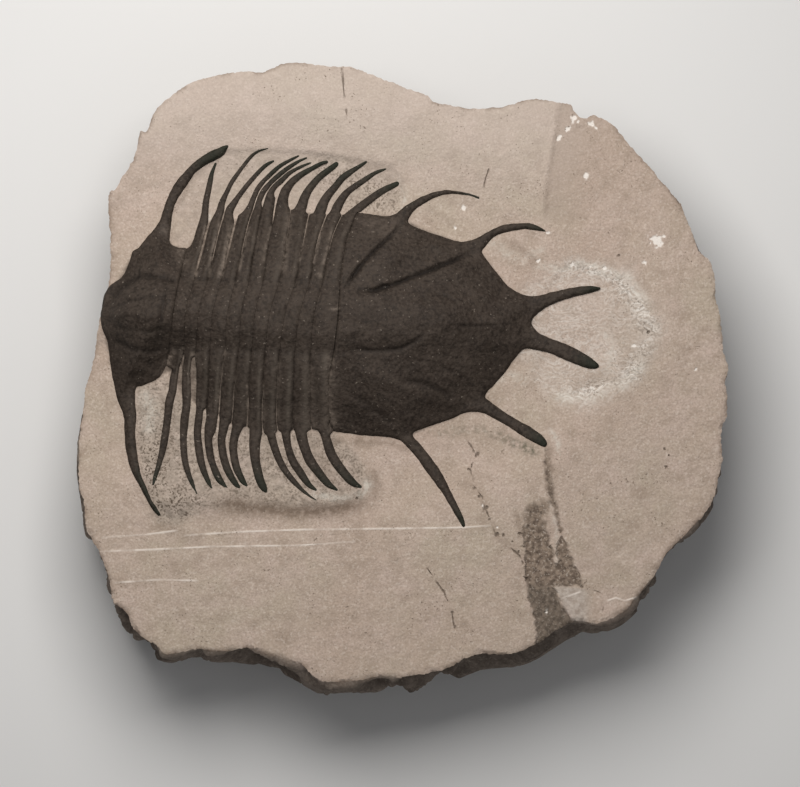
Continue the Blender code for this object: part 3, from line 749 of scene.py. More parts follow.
def side_width(line, rearward, lines, index, step):
    """The half width of a segment on its front (-1) or rear (+1) side."""
    other = index + step
    joint = JOINTS_PX[index + (step > 0)]
    if 0 <= other < len(lines):
        room = nearest(line[:, :2], lines[other][:, :2])[0] / 2
    else:
        margin = HEAD_REAR_PX if step < 0 else TAIL_FRONT_PX
        room = nearest(line[:, :2], margin)[0]
    beside = line[:, :2] + step * rearward * np.minimum(room, JOINT_LOOK_PX)[:, None]
    closed = smooth((beside[:, 1] - joint[4]) / GAP_END_PX + 0.4)
    closed *= smooth((joint[5] - beside[:, 1]) / GAP_END_PX + 0.4)
    own = line[:, 2] / 2
    wide = own + np.maximum(room - own, 0) * closed
    return np.minimum(np.maximum(room - joint_width(beside, joint) / 2, 0.3), wide)


def segment_plan(index, lines):
    """Points across each station of a segment, each one's share of the way across, and the half widths."""
    line = lines[index]
    centre = line[:, :2]
    rearward = sideways(centre)
    if rearward[:, 0].mean() < 0:
        rearward = -rearward
    front = side_width(line, rearward, lines, index, -1)
    rear = side_width(line, rearward, lines, index, 1)
    across = -np.cos(np.linspace(0, math.pi, ACROSS))
    reach = np.where(across[None, :] < 0, front[:, None], rear[:, None]) * across[None, :]
    points = (centre[:, None, :] + rearward[:, None, :] * reach[:, :, None]).reshape(-1, 2)
    return points, np.tile(across, len(line)), np.repeat((front + rear) / 2, ACROSS)


def segment_relief(points, across, half):
    """How high a segment stands over the bed, and its tones."""
    inside = depth_inside(points, BODY_MARGIN_PX)
    offset = axis_offset(points)
    spine = 1 - smooth((inside + 14) / 26)
    axis = smooth((AXIS_HALF_PX + 3 - offset) / 8)
    tall = np.minimum(half, SPINE_HEIGHT_PX) * PIXEL * SPINE_STOUTNESS
    round_section = np.sqrt(np.maximum(0, 1 - across**2)) * tall - SPINE_SINK
    band = EDGE_RISE + BAND_RISE * (1 - np.abs(across) ** 3.5) - BAND_FURROW * bump(across + 0.12, 0.36)
    ring = EDGE_RISE + RING_RISE * (1 - np.abs(across) ** 2.2) + RING_TILT * across
    furrow = bump(offset - AXIS_HALF_PX - 1 - 1.5 * noise(flat(points), 10, 45), 5) * (1 - spine)
    furrow *= 0.45 + 0.55 * noise(flat(points), 16, 48)
    relief = (band * (1 - axis) + ring * axis) * (1 - spine) + round_section * spine
    relief += shell_grain(points) * (1 - 0.4 * spine) - AXIAL_FURROW * furrow

    body = smooth((inside + 24) / 44)
    streak = 0.5 + 0.5 * noise(flat(points) / (3, 25, 1), 1, 46)
    bright = bump(across - 0.45, 0.5) * body * streak * (1 - 0.75 * axis)
    # painted light: the bands are painted up to twice as pale on the lower side of the body, which faces
    # away from the key light
    bright *= 0.95 + smooth((points[:, 1] - BAND_BRIGHT_PX) / 35)
    # painted shade at the plates' edges in the joints and in the axial furrow
    groove_shade = 0.42 * body * np.abs(across) ** 10 * (1 - 0.92 * axis) + 0.45 * np.maximum(furrow, 0)
    return relief, {"band": bright, "groove_shade": groove_shade}


def segment(index, lines, finish):
    """One thoracic segment: a closed plate with a furrowed band each side, a ring and two spines."""
    points, across, half = segment_plan(index, lines)
    relief, tones = segment_relief(points, across, half)
    stations = len(lines[index])
    plan = points.reshape(stations, ACROSS, 2)
    top = (bed(points) + relief).reshape(stations, ACROSS)
    low = bed(plan[:, [0, -1]].reshape(-1, 2)).reshape(stations, 2) - PLATE_DEPTH
    plan = np.concatenate([plan, plan[:, [-1, 0]]], axis=1).reshape(-1, 2)
    spots = place(plan, np.concatenate([top, low[:, [1, 0]]], axis=1).ravel())

    sides = ACROSS + 2
    base = np.arange(stations - 1)[:, None] * sides
    step = np.arange(sides)
    after = (step + 1) % sides
    quads = np.stack([base + step, base + after, base + sides + after, base + sides + step], axis=2)
    quads = quads.reshape(-1, 4)[:, ::-1]
    caps = [list(range((stations - 1) * sides, stations * sides)), list(range(sides))[::-1]]
    underside = np.zeros((stations, 2))
    for key, values in tones.items():
        tones[key] = np.concatenate([values.reshape(stations, ACROSS), underside], axis=1).ravel()
    tones["tip"] = tip_tone(plan)
    tones["dust"] = streaks(plan, DUSTY_PX)
    name = f"thoracic_plate_{index + 1:02d}"
    node = f"thoracic_segment_{index + 1:02d}"
    return add_piece(name, spots, [*quads, *caps], finish, [node], tones)


ROCK_CELL_PX = 2.75
ROUGH_CELL_PX = 2.05
HIDDEN_CELL_PX = 5.0
MARK_CELL_PX = 0.9
RIM_STEP_PX = 2.0
WALL_ROWS = 35
# Flakes broken off the wall: how many, how tilted and how hollow, from large to small
WALL_FLAKES = ((70, 0.26, 0.0085), (520, 0.32, 0.026), (3200, 0.24, 0.055))
FLAKE_PUSH_PX = -6.0  # the broken wall lies this far inside the rim on average
FLAKE_FORWARD_PX = 5.5  # and this much further out where it faces down the picture
WALL_BULGE = 0.0019
FLAKE_LIMIT_PX = 11  # the large flakes reach this far from their mean at most
FACING_OUT_PX = 5  # the wall may stand this far out where it faces down the picture
COARSE_OUT_PX = -1.5  # and its large flakes this further
WALL_OUT_PX = 1.2  # and all of it this further
NICK_PX = 2.5  # no place lies more than this behind the middle of its neighbours
SPIKE_PX = 1.0  # or than this before it
RIM_DARKENING = 0.75  # how much of the trench's brown the rim takes on along its edge
EVEN_POINTS = 9  # the rim is evened over this many points each way for the wall below it
UNDERSIDE_INSET = 0.0012


def ground(points, spots):
    """Relief of the prepared ground, and where it is rough, specked or covered by the body."""
    inside = depth_inside(points, BODY_MARGIN_PX)
    calm = 1 - 0.75 * smooth((inside + 14) / 14)
    lower = smooth(depth_inside(points, LOWER_ROUGH_PX) / 12 + 0.5)
    upper = smooth(depth_inside(points, UPPER_ROUGH_PX) / 8 + 0.5)
    under_rings = smooth((inside - 4) / 6) * smooth((AXIS_HALF_PX + 8 - axis_offset(points)) / 6)
    shields = np.maximum(depth_inside(points, CEPHALON_PX), depth_inside(points, PYGIDIUM_PX))
    relief = -UNDER_PLATES_DEPTH * np.maximum(under_rings, smooth((shields - 2.5) / 4))
    relief += calm * WAVE_HEIGHT * rough_noise(spots, 70, 11) * smooth((-inside - 10) / 60)
    relief += calm * RIPPLE_HEIGHT * rough_noise(spots, 16, 12)
    relief += GRAIN_HEIGHT * noise(spots, 4.5, 13)
    relief += np.clip(lower + upper, 0, 1) * ROUGH_HEIGHT * rough_noise(spots, 5, 14, 2)
    specked = np.max([bump(nearest(points, line)[0], SPECKED_REACH_PX) for line in SPECKED_PX], axis=0)
    tones = {
        "rough": lower + 0.45 * upper,
        "specked": lower * (0.55 + 0.45 * specked) + upper * (0.06 + 0.60 * specked),
        # painted shade: the rock under and between the plates is darkened, and more so deep under them
        "buried": smooth((inside + 1) / 3),
        "deep_shade": smooth((inside - 14) / 34),
    }
    return relief, tones


def dirt_and_shade(points, spots, edge):
    """Painted shade in brown in the trench below the lower spines, smudges in the same colour, some of them
    painted shade, and the rim darkened alike.
    """
    away, along = nearest(points, TRENCH_PX)
    # the trench's brown is painted shade where the ground falls away below the spines
    trench = bump(away + 1.5 * noise(spots, 12, 24), 11) * faded_ends(along, 5, 0.1)
    relief = trench * (TRENCH_ROUGHNESS * rough_noise(spots, 7, 25) - TRENCH_DEPTH)
    # the rim is darkened along its edge in the same brown
    rim = RIM_DARKENING * bump(edge, 3) * smooth(0.5 + 2.2 * noise(spots, 11, 49))
    return relief, {"dirt_and_shade": np.max([trench, streaks(points, SMUDGES_AND_SHADE_PX, 2, 6, 41), rim], axis=0)}


def abrasion(points, spots):
    """The scraped hollow round the rear spines with its abraded ring and low lip, and pale crusts with one
    painted highlight.
    """
    from_edge = np.hypot(*(points - ABRADED_CENTRE_PX).T) - ABRADED_RADIUS_PX - 7 * noise(spots, 22, 9)
    scraped = 1 - smooth((from_edge + 6) / 16)
    ring = bump(from_edge + 4, 15) * smooth((points[:, 0] - RING_FROM_PX) / 90)
    abraded = np.maximum(0.35 * scraped, ring)
    relief = scraped * (SCRAPED_ROUGHNESS * rough_noise(spots, 9, 15) - SCRAPED_DEPTH)
    relief += abraded * ABRADED_ROUGHNESS * rough_noise(spots, 7, 29)
    relief += ABRADED_LIP * bump(from_edge, 7) * smooth((points[:, 0] - LIP_FROM_PX) / 40)
    return relief, {"abraded": abraded, "pale": streaks(points, PALE_AND_HIGHLIGHT_PX, 1.5, 7, 30)}


def patch(points, spots):
    """The dark broken patch with the strip that runs up from it, and the pale island in it."""
    fuzzy = 2 + 6 * smooth((PATCH_FUZZY_PX - points[:, 1]) / 24)
    edge = depth_inside(points, PATCH_PX) + (0.8 * fuzzy + 0.2) * noise(spots, 5, 16)
    away, along = nearest(points, DARK_STRIP_PX)
    reach = 1.3 + 2.8 * bump(along - 0.42, 0.42)
    strip = smooth(1.4 - (away + 1.6 * noise(spots, 5, 17)) / reach)
    island = smooth((depth_inside(points, ISLAND_PX) + 0.8 * noise(spots, 5, 28)) / 1.6 + 0.5)
    dark = np.maximum(smooth(edge / fuzzy + 0.5), strip) * (1 - island)
    sunk = smooth((points[:, 1] - PATCH_SUNK_PX) / 70)
    relief = dark * (PATCH_ROUGHNESS * rough_noise(spots, 5, 18, 2) - PATCH_DEPTH * sunk)
    tones = {
        "dark": dark,
        "soot": dark * smooth((points[:, 1] - SOOT_FROM_PX) / 14),
        "island": island * smooth((ISLAND_WORN_PX - points[:, 0]) / 14),
    }
    return relief, tones


def round_marks(points, spots, rows):
    """Round marks with ragged edges, each given as x, y and reach."""
    ragged = 1 + 0.75 * noise(spots, 2.2, 27)
    near = [np.hypot(points[:, 0] - x, points[:, 1] - y) / reach for x, y, reach in rows]
    return smooth(2.5 * (1.2 - np.min(near, axis=0) * ragged))


def marks(points, spots):
    """White veins and chips, dark cracks and pits, and greenish staining below the tail shield with painted
    shade along its margin.
    """
    vein = np.zeros(len(points))
    broken = 0.38 + 0.62 * smooth(noise(spots, 12, 19) * 1.8 + 0.6)
    for line in VEINS_PX:
        away, along = nearest(points, line)
        vein = np.maximum(vein, smooth(1.55 - away / 0.75) * faded_ends(along, 6, 0.4) * broken)
    crack = round_marks(points, spots, PITS_PX)
    broken = smooth(noise(spots, 6, 20) * 2.2 + 0.42)
    shift = 0.6 * noise(spots, 3, 26)
    for line in CRACKS_PX:
        crack = np.maximum(crack, smooth(1.45 - (nearest(points, line)[0] + shift) / 0.6) * broken)
    chip = round_marks(points, spots, CHIPS_PX)
    # painted shade along the tail's lower margin, turning into a real greenish stain at its far end
    away, along = nearest(points, STAIN_AND_SHADE_PX)
    stain_and_shade = bump(away + 2.5 * noise(spots, 6, 23), 7) * (0.35 + 0.65 * along**3)
    relief = VEIN_HEIGHT * vein - CRACK_DEPTH * crack - CHIP_DEPTH * chip
    return relief, {"vein": vein, "crack": crack, "chip": chip, "stain_and_shade": stain_and_shade}


def step_and_rim(points, spots, edge):
    """A low step down to the right, the ground left of it paler towards the top, and the worn rim."""
    line = np.array(STEP_PX, float)
    side = points[:, 0] - np.interp(points[:, 1], line[:, 1], line[:, 0])
    shown = smooth((points[:, 1] - STEP_ENDS_PX[0]) / 12) * smooth((STEP_ENDS_PX[1] - points[:, 1]) / 18)
    step = smooth(side / 3 + 0.5) * np.exp(-np.maximum(side, 0) / 60) * shown
    reach = np.maximum(3.0 + 2.6 * noise(spots, 9, 21), 0.6)
    drop = RIM_DROP + RIM_CHIP_DROP * np.maximum(0, noise(spots, 7, 22))
    relief = -STEP_DEPTH * step - drop * np.clip(1 - edge / reach, 0, 1)
    paler_upward = smooth((PALER_TO_PX - points[:, 1]) / 150) * (1 - smooth((side + 12) / 60))
    return relief, {"step": step, "paler_upward": paler_upward}


def rock(points, edge):
    """Height of the slab's upper face and its tones, at points this far in from the rim."""
    spots = flat(points)
    height = bed(points)
    tones = {}
    parts = (
        ground(points, spots), dirt_and_shade(points, spots, edge), abrasion(points, spots),
        patch(points, spots), marks(points, spots), step_and_rim(points, spots, edge),
    )  # fmt: skip
    for relief, shown in parts:
        height += relief
        tones |= shown
    return height, tones


def line_points(lines, offsets, spacing):
    """Rows of points along and beside each line, so that a thin line shows sharp in the mesh."""
    rows = []
    for line in lines:
        middle = curve_through(line, spacing)
        rows += [middle + offset * sideways(middle) for offset in offsets]
    return np.vstack(rows)


def matrix_points(ring, rng):
    """Points of the upper face: close in the rough ground, and wide apart under the shields."""
    low, high = ring.min(axis=0), ring.max(axis=0)
    fine = lattice(low, high, ROUGH_CELL_PX, rng)
    plain = lattice(low, high, ROCK_CELL_PX, rng)
    hidden = lattice(low, high, HIDDEN_CELL_PX, rng)

    def zone(points):
        rough = np.max([depth_inside(points, outline) for outline in FINE_ZONES_PX], axis=0)
        buried = np.maximum(depth_inside(points, CEPHALON_PX), depth_inside(points, PYGIDIUM_PX))
        return np.where(buried > 8, 2, np.where(rough > -3, 1, 0))

    groups = [points[zone(points) == kind] for kind, points in enumerate((plain, fine, hidden))]
    for x, y, reach in (*PITS_PX, *CHIPS_PX):
        spot = np.array([x, y])
        close = lattice(spot - 1.7 * reach, spot + 1.7 * reach, MARK_CELL_PX, rng)
        others = [points[np.hypot(*(points - spot).T) > 1.8 * reach] for points in groups]
        groups = [*others, close]
    lines = line_points([*VEINS_PX, *CRACKS_PX], (-1.4, -0.7, 0, 0.7, 1.4), 1.6)
    groups = np.vstack(groups)
    inner = np.vstack([groups[nearest_spot(groups, lines) > 1.0], lines])
    return inner[is_inside(inner, ring) & (nearest_spot(inner, ring) > 0.7 * RIM_STEP_PX)]


def flaked(spots, rng, count, tilt, hollow):
    """Height in pixels of tilted hollows that meet at ridges, and how near to a ridge each spot is."""
    seeds = rng.permutation(spots)[:count]
    tilts = rng.normal(0, tilt, seeds.shape)
    tree = KDTree(count)
    for index, seed in enumerate(seeds):
        tree.insert(seed, index)
    tree.balance()
    near = np.array([[found[1] for found in tree.find_n(spot, 5)] for spot in spots.tolist()])
    away = spots[:, None] - seeds[near]
    sheets = np.sort((away * tilts[near]).sum(axis=2) + hollow * (away**2).sum(axis=2), axis=1)
    return sheets[:, 0], bump(sheets[:, 1] - sheets[:, 0], 110 * hollow)


def rim_ring(rng):
    """The slab's rim in small steps, with its chips."""
    ring = curve_through(RIM_PX, RIM_STEP_PX, closed=True)
    chips = wander(ring, 9, 31) + 0.9 * wander(ring, 3.5, 33)
    ring += 0.75 * chips + rng.uniform(-0.45, 0.45, ring.shape)
    return ring


def broken_wall(ring, rim_height, rng):
    """The plan and height of rows of points round the wall, top to bottom, and their tones."""
    count = len(ring)
    padded = np.vstack([ring[-EVEN_POINTS:], ring, ring[:EVEN_POINTS]])
    even = np.array([padded[i : i + 2 * EVEN_POINTS + 1].mean(axis=0) for i in range(count)])
    outward = even - ring.mean(axis=0)
    outward /= np.hypot(*outward.T)[:, None]
    facing = np.maximum(0, outward[:, 1])

    down = np.linspace(0, 1, WALL_ROWS + 1)[1:, None]
    slope = (4 * WALL_BULGE * facing * down * (1 - down) - UNDERSIDE_INSET * down) / PIXEL
    plan = ring + (even - ring) * smooth(down / 0.16)[:, :, None] + outward * slope[:, :, None]
    level = rim_height * (1 - down)
    spots = np.concatenate([plan, level[:, :, None] / PIXEL], axis=2).reshape(-1, 3)
    warped = spots + 9 * np.column_stack([noise(spots, 26, seed) for seed in (36, 37, 38)])
    flakes = [flaked(warped, rng, *flake) for flake in WALL_FLAKES]
    beds = noise(spots * (0.12, 0.12, 1), 7, 47)
    coarse = flakes[0][0] + 1.6 * rough_noise(spots, 60, 35, 2)
    coarse = np.clip(coarse - coarse.mean(), -FLAKE_LIMIT_PX, FLAKE_LIMIT_PX).reshape(level.shape)
    fine = flakes[1][0] + flakes[2][0] + 0.7 * rough_noise(spots, 5, 39, 2)
    fine = (fine - fine.mean() + 1.1 * beds).reshape(level.shape)
    # proud parts and ridges of the wall are painted paler: partly fresh breaks, partly painted highlight
    proud = smooth(0.5 + (coarse + fine).ravel() / 12)
    ridge = np.clip(0.5 * flakes[0][1] + 0.4 * flakes[1][1] + 0.3 * proud + 0.2 * beds, 0, 1)

    limit = FACING_OUT_PX * facing
    coarse = np.minimum(coarse + FLAKE_PUSH_PX + FLAKE_FORWARD_PX * facing, limit + COARSE_OUT_PX)
    push = np.minimum(coarse + fine, limit + WALL_OUT_PX)
    beside = (np.roll(push, 2, axis=1) + np.roll(push, -2, axis=1)) / 2
    fade = smooth(down / 0.07) * smooth((1.04 - down) / 0.10)
    push = np.clip(push, beside - NICK_PX, beside + SPIKE_PX) * fade
    plan = plan + outward * push[:, :, None]
    level = level + noise(spots, 7, 40).reshape(level.shape) * fade * PIXEL * (level > 0)
    return plan, level, {"ridge": ridge, "wall": np.repeat(smooth(down / 0.06), count)}


def matrix_stone(finish):
    """The slab: its upper face, a broken wall all round and a flat underside."""
    rng = np.random.default_rng(41)
    ring = rim_ring(rng)
    points, triangles = triangulate(ring, matrix_points(ring, rng))
    height, tones = rock(points, nearest_spot(points, ring))
    total, count = len(points), len(ring)
    plan, level, wall_tones = broken_wall(ring, height[:count], rng)
    spots = np.vstack([place(points, height), place(plan.reshape(-1, 2), level.ravel())])

    below = total + np.arange(WALL_ROWS * count).reshape(WALL_ROWS, count)
    rows = [np.arange(count), *below]
    faces = list(triangles)
    flip = signed_area(ring) > 0
    for upper, lower in zip(rows[:-1], rows[1:]):
        quads = np.column_stack([upper, np.roll(upper, -1), np.roll(lower, -1), lower])
        faces += list(quads[:, ::-1] if flip else quads)
    faces.append(rows[-1][::-1] if flip else rows[-1])
    for key, values in tones.items():
        tones[key] = np.concatenate([values, np.zeros(below.size)])
    for key, values in wall_tones.items():
        tones[key] = np.concatenate([np.zeros(total), values])
    return add_piece("matrix_stone", spots, faces, finish, ["matrix"], tones, crease=30)


def node(tree, kind, inputs=(), **settings):
    """A shader node with its settings, and its inputs given as values or as sockets to link."""
    made = tree.nodes.new("ShaderNode" + kind)
    for key, value in settings.items():
        setattr(made, key, value)
    for key, value in dict(inputs).items():
        if isinstance(value, bpy.types.NodeSocket):
            tree.links.new(value, made.inputs[key])
        else:
            made.inputs[key].default_value = value
    return made


def blended(tree, factor, first, second):
    """A mix of two colours, each a socket or three numbers."""
    made = node(tree, "Mix", data_type="RGBA", blend_type="MIX")
    for key, value in ((0, factor), (6, first), (7, second)):
        if isinstance(value, bpy.types.NodeSocket):
            tree.links.new(value, made.inputs[key])
        else:
            made.inputs[key].default_value = (*value, 1) if key else value
    return made.outputs[2]


def speckle(tree, spots, size, detail, low, high):
    """Noise with features of this size in metres, spread to run from 0 at low to 1 at high."""
    made = node(tree, "TexNoise", {"Vector": spots, "Scale": 1 / size, "Detail": detail})
    inputs = {"Value": made.outputs["Fac"], "From Min": low, "From Max": high}
    return node(tree, "MapRange", inputs).outputs["Result"]


def tone(tree, name):
    return node(tree, "Attribute", attribute_name=name).outputs["Fac"]


def times(tree, first, second):
    made = node(tree, "Math", operation="MULTIPLY")
    for socket, value in zip(made.inputs, (first, second)):
        if isinstance(value, bpy.types.NodeSocket):
            tree.links.new(value, socket)
        else:
            socket.default_value = value
    return made.outputs[0]


def coat(tree, base, colour, *masks):
    """A colour laid on the base where all its masks are, each a number, a socket or a tone's name."""
    amount, *others = [tone(tree, mask) if isinstance(mask, str) else mask for mask in masks]
    for other in others:
        amount = times(tree, amount, other)
    return blended(tree, amount, base, colour)


def vector(tree, operation, first, second):
    return node(tree, "VectorMath", {0: first, 1: second}, operation=operation).outputs[0]


def new_material(name, roughness, specular):
    made = bpy.data.materials.new(name)
    made.use_nodes = True
    tree = made.node_tree
    shader = tree.nodes["Principled BSDF"]
    shader.inputs["Roughness"].default_value = roughness
    shader.inputs["Specular IOR Level"].default_value = specular
    spots = node(tree, "TexCoord").outputs["Object"]
    return made, tree, shader, spots


def limestone():
    """Pale warm grey, finely granular rock with white veins, dark specks, and broken walls darkened partly
    as weathering and partly as painted shade.
    """
    made, tree, shader, spots = new_material("limestone", 0.92, 0.15)
    mottle = speckle(tree, spots, 0.022, 3, low=0.35, high=0.65)
    base = blended(tree, mottle, (0.455, 0.352, 0.288), (0.445, 0.368, 0.292))
    base = coat(tree, base, (0.50, 0.395, 0.335), speckle(tree, spots, 0.0050, 4, low=0.40, high=0.75))
    base = coat(tree, base, (0.35, 0.272, 0.215), speckle(tree, spots, 0.0028, 4, low=0.50, high=0.80))
    grain = speckle(tree, spots, 0.00032, 2, low=0.38, high=0.68)
    base = coat(tree, base, (0.29, 0.218, 0.170), grain, 0.50)
    pale = speckle(tree, spots, 0.00042, 2, low=0.54, high=0.70)
    base = coat(tree, base, (0.64, 0.55, 0.475), pale, 0.40)
    base = coat(tree, base, (0.53, 0.455, 0.405), "paler_upward", 0.45)

    # Rough ground among the spines, and its dark specks
    dirty = speckle(tree, spots, 0.0009, 5, low=0.38, high=0.66)
    base = coat(tree, base, (0.415, 0.358, 0.305), "rough", 0.34)
    base = coat(tree, base, (0.235, 0.192, 0.155), "rough", dirty, 0.62)
    specks = speckle(tree, spots, 0.00036, 3, low=0.51, high=0.59)
    clusters = speckle(tree, spots, 0.0022, 4, low=0.30, high=0.54)
    specks = times(tree, specks, clusters)
    base = coat(tree, base, (0.100, 0.074, 0.054), "specked", specks)

    # Scrapes of the abraded ring, two ways across each other
    warp = node(tree, "TexNoise", {"Vector": spots, "Scale": 260, "Detail": 2.0}).outputs["Color"]
    warp = vector(tree, "SUBTRACT", warp, (0.5, 0.5, 0.5))
    warped = vector(tree, "ADD", spots, vector(tree, "MULTIPLY", warp, (0.006, 0.006, 0.006)))
    base = coat(tree, base, (0.53, 0.475, 0.42), "abraded", 0.46)
    for turn in (0.5, 1.35):
        inputs = {"Vector": warped, "Rotation": (0, 0, turn), "Scale": (0.22, 1, 1)}
        scraped = node(tree, "Mapping", inputs).outputs["Vector"]
        scrapes = speckle(tree, scraped, 0.00042, 4, low=0.47, high=0.62)
        here = speckle(tree, scraped, 0.0030, 3, low=0.38, high=0.56)
        base = coat(tree, base, (0.72, 0.66, 0.60), "abraded", here, scrapes)
    base = coat(tree, base, (0.15, 0.115, 0.09), "abraded", specks, 0.6)

    # Crusts, the step, and brown smudges, partly dirt and partly painted shade
    crust = speckle(tree, warped, 0.0007, 5, low=0.34, high=0.60)
    base = coat(tree, base, (0.64, 0.60, 0.53), "pale", crust, 0.75)
    base = coat(tree, base, (0.325, 0.256, 0.208), "step", 0.5)
    umber = speckle(tree, spots, 0.0007, 5, low=0.10, high=0.56)
    # painted shade in brown: the trench, smudges beside spines and plates, and some real dirt
    base = coat(tree, base, (0.155, 0.108, 0.078), "dirt_and_shade", umber, 0.82)

    # The dark patch, its island, and the greenish stain with painted shade along the tail's margin
    mottle = speckle(tree, spots, 0.0007, 5, low=0.38, high=0.62)
    patched = blended(tree, mottle, (0.105, 0.076, 0.057), (0.260, 0.198, 0.152))
    flecks = speckle(tree, spots, 0.00036, 3, low=0.57, high=0.66)
    patched = coat(tree, patched, (0.46, 0.39, 0.33), flecks, 0.7)
    soot = speckle(tree, spots, 0.00055, 3, low=0.60, high=0.68)
    patched = coat(tree, patched, (0.040, 0.029, 0.022), soot, 0.7)
    patched = coat(tree, patched, (0.062, 0.055, 0.044), "soot", 0.45)
    base = coat(tree, base, patched, "dark", 0.94)
    worn = blended(tree, mottle, (0.33, 0.275, 0.235), (0.50, 0.44, 0.39))
    base = coat(tree, base, worn, "island", 0.7)
    base = coat(tree, base, (0.105, 0.098, 0.066), "stain_and_shade", mottle)

    # Painted shade on the rock that fills the joints of the shell and lies under it, darker deeper under
    # the shell, and the marks
    fill = blended(tree, mottle, (0.120, 0.092, 0.073), (0.25, 0.200, 0.162))
    fill = coat(tree, fill, (0.072, 0.056, 0.045), "deep_shade")
    base = coat(tree, base, fill, "buried", 0.94)
    base = coat(tree, base, (0.090, 0.066, 0.050), "crack", 0.72)
    base = coat(tree, base, (0.76, 0.68, 0.61), "vein", 0.75)
    base = coat(tree, base, (0.80, 0.745, 0.69), "chip", 0.85)
    lone = speckle(tree, spots, 0.00034, 2, low=0.645, high=0.69)
    thinned = speckle(tree, spots, 0.0038, 3, low=0.50, high=0.60)
    base = coat(tree, base, (0.13, 0.095, 0.07), lone, thinned, 0.75)

    # The broken wall, darkened partly as weathering and partly as painted shade, paler along its ridges and
    # proud parts as fresh breaks and painted highlight
    mottle = speckle(tree, spots, 0.0028, 8, low=0.38, high=0.62)
    wall = blended(tree, mottle, (0.100, 0.079, 0.064), (0.172, 0.139, 0.114))
    wall = coat(tree, wall, (0.325, 0.270, 0.228), "ridge", 0.60)
    gritty = speckle(tree, spots, 0.0006, 5, low=0.47, high=0.62)
    wall = coat(tree, wall, (0.075, 0.058, 0.045), gritty, 0.50)
    wall = coat(tree, wall, (0.40, 0.335, 0.285), pale, 0.32)
    base = coat(tree, base, wall, "wall", 0.92)
    tree.links.new(base, shader.inputs["Base Color"])
    add_bumps(tree, shader, spots, ((0.00035, 4.0, 0.5, 0.0002), (0.0016, 6.0, 0.6, 0.0004)))
    return made


def add_bumps(tree, shader, spots, layers):
    """Relief too fine for the mesh: layers of noise by size, detail, strength and depth."""
    below = None
    for size, detail, strength, depth in layers:
        made = node(tree, "TexNoise", {"Vector": spots, "Scale": 1 / size, "Detail": detail})
        inputs = {"Height": made.outputs["Fac"], "Strength": strength, "Distance": depth}
        if below:
            inputs["Normal"] = below
        below = node(tree, "Bump", inputs).outputs["Normal"]
    tree.links.new(below, shader.inputs["Normal"])


def calcite():
    """Dark brown shell, greenish black at the spine tips, with pale matrix left on it."""
    made, tree, shader, spots = new_material("calcite_shell", 0.72, 0.14)
    mottle = speckle(tree, spots, 0.005, 4, low=0.35, high=0.65)
    base = blended(tree, mottle, (0.0317, 0.0229, 0.0175), (0.0518, 0.0388, 0.0304))
    blotch = speckle(tree, spots, 0.0024, 5, low=0.42, high=0.66)
    base = coat(tree, base, (0.024, 0.0178, 0.0140), blotch, 0.55)
    fine = speckle(tree, spots, 0.00045, 3, low=0.38, high=0.66)
    base = coat(tree, base, (0.082, 0.064, 0.051), fine, 0.50)
    soot = speckle(tree, spots, 0.00060, 4, low=0.50, high=0.66)
    base = coat(tree, base, (0.016, 0.012, 0.0095), soot, 0.55)
    # paler streaks on the bands, made stronger on the lower side as painted light
    base = coat(tree, base, (0.095, 0.077, 0.062), "band", 0.55)
    # painted shade in the shell's furrows, grooves and joints
    base = coat(tree, base, (0.007, 0.005, 0.004), "groove_shade", 0.85)
    base = coat(tree, base, (0.0135, 0.0195, 0.0125), "tip", 0.75)
    flecks = speckle(tree, spots, 0.00050, 2, low=0.69, high=0.75)
    base = coat(tree, base, (0.27, 0.225, 0.185), flecks, 0.55)
    clinging = speckle(tree, spots, 0.0007, 4, low=0.30, high=0.62)
    base = coat(tree, base, (0.30, 0.24, 0.195), "dust", clinging)
    tree.links.new(base, shader.inputs["Base Color"])
    rough = node(tree, "MapRange", {"Value": fine, "To Min": 0.62, "To Max": 0.80})
    tree.links.new(rough.outputs["Result"], shader.inputs["Roughness"])
    add_bumps(tree, shader, spots, ((0.00040, 4.0, 0.6, 0.00022), (0.0013, 3.0, 0.5, 0.0004)))
    return made


CAMERA_DISTANCE = 1.30
CAMERA_TILT = math.radians(4)
CAMERA_CLOSER = 1.0022  # a little closer, so that the lower ground round the body holds the scale
MIDDLE_DROP_PX = -0.6
SENSOR = 36.0
FLOOR_REACH = 3.0
FLOOR_COLOUR = (0.74, 0.73, 0.72, 1)
SKY_COLOUR = (0.95, 0.97, 1.0, 1)
SKY_STRENGTH = 0.14


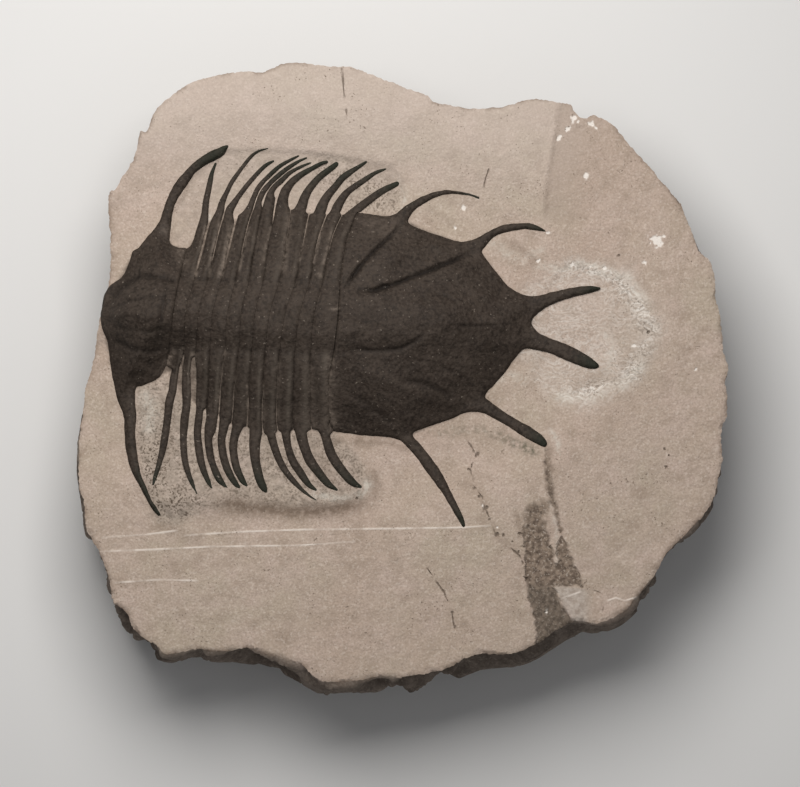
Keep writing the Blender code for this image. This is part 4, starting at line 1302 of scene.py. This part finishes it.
def camera():
    """Looks down on the slab from the height where the picture's scale holds at its rim."""
    data = bpy.data.cameras.new("camera")
    data.sensor_width = SENSOR
    data.lens = SENSOR * CAMERA_DISTANCE / (IMAGE_PX[0] * PIXEL) * CAMERA_CLOSER
    made = bpy.data.objects.new("camera", data)
    centre = np.array([[IMAGE_PX[0] / 2, IMAGE_PX[1] / 2 + MIDDLE_DROP_PX]])
    middle = place(centre, np.array([RIM_HEIGHT - DISH_DEPTH / 2]))[0]
    back = Vector((0, -math.sin(CAMERA_TILT), math.cos(CAMERA_TILT)))
    made.location = Vector(middle) + back * CAMERA_DISTANCE
    made.rotation_euler = (CAMERA_TILT, 0, 0)
    bpy.context.scene.collection.objects.link(made)
    bpy.context.scene.camera = made


def area_light(name, spot, size, power, colour):
    data = bpy.data.lights.new(name, "AREA")
    data.size = size
    data.energy = power
    data.color = colour
    made = bpy.data.objects.new(name, data)
    made.location = spot
    made.rotation_euler = (-Vector(spot)).to_track_quat("-Z", "Y").to_euler()
    bpy.context.scene.collection.objects.link(made)


def studio():
    """A pale floor, a soft key light from beyond the slab and a pale sky for fill."""
    mesh = bpy.data.meshes.new("floor")
    corners = [(-1, -1, 0), (1, -1, 0), (1, 1, 0), (-1, 1, 0)]
    mesh.from_pydata([[FLOOR_REACH * value for value in corner] for corner in corners], [], [(0, 1, 2, 3)])
    made, _, shader, _ = new_material("floor", 0.8, 0.2)
    shader.inputs["Base Color"].default_value = FLOOR_COLOUR
    mesh.materials.append(made)
    floor = bpy.data.objects.new("floor", mesh)
    bpy.context.scene.collection.objects.link(floor)

    area_light("key", (-0.035, 0.11, 0.23), 0.18, 0.665, (1.0, 0.985, 0.96))
    area_light("fill", (0.3, -0.4, 0.8), 0.8, 0.63, (0.98, 0.99, 1.0))
    world = bpy.data.worlds.new("sky")
    world.use_nodes = True
    background = world.node_tree.nodes["Background"]
    background.inputs["Color"].default_value = SKY_COLOUR
    background.inputs["Strength"].default_value = SKY_STRENGTH
    bpy.context.scene.world = world
    bpy.context.scene.view_settings.view_transform = "Standard"


def main():
    stone = limestone()
    shell = calcite()
    matrix_stone(stone)
    shield("cephalon_shield", CEPHALON_PX, CEPHALON_RELIEF, "cephalon", shell, 51)
    lines = segment_lines()
    for index in range(len(lines)):
        segment(index, lines, shell)
    shield("pygidium_shield", PYGIDIUM_PX, PYGIDIUM_RELIEF, "pygidium", shell, 52)
    camera()
    studio()


main()
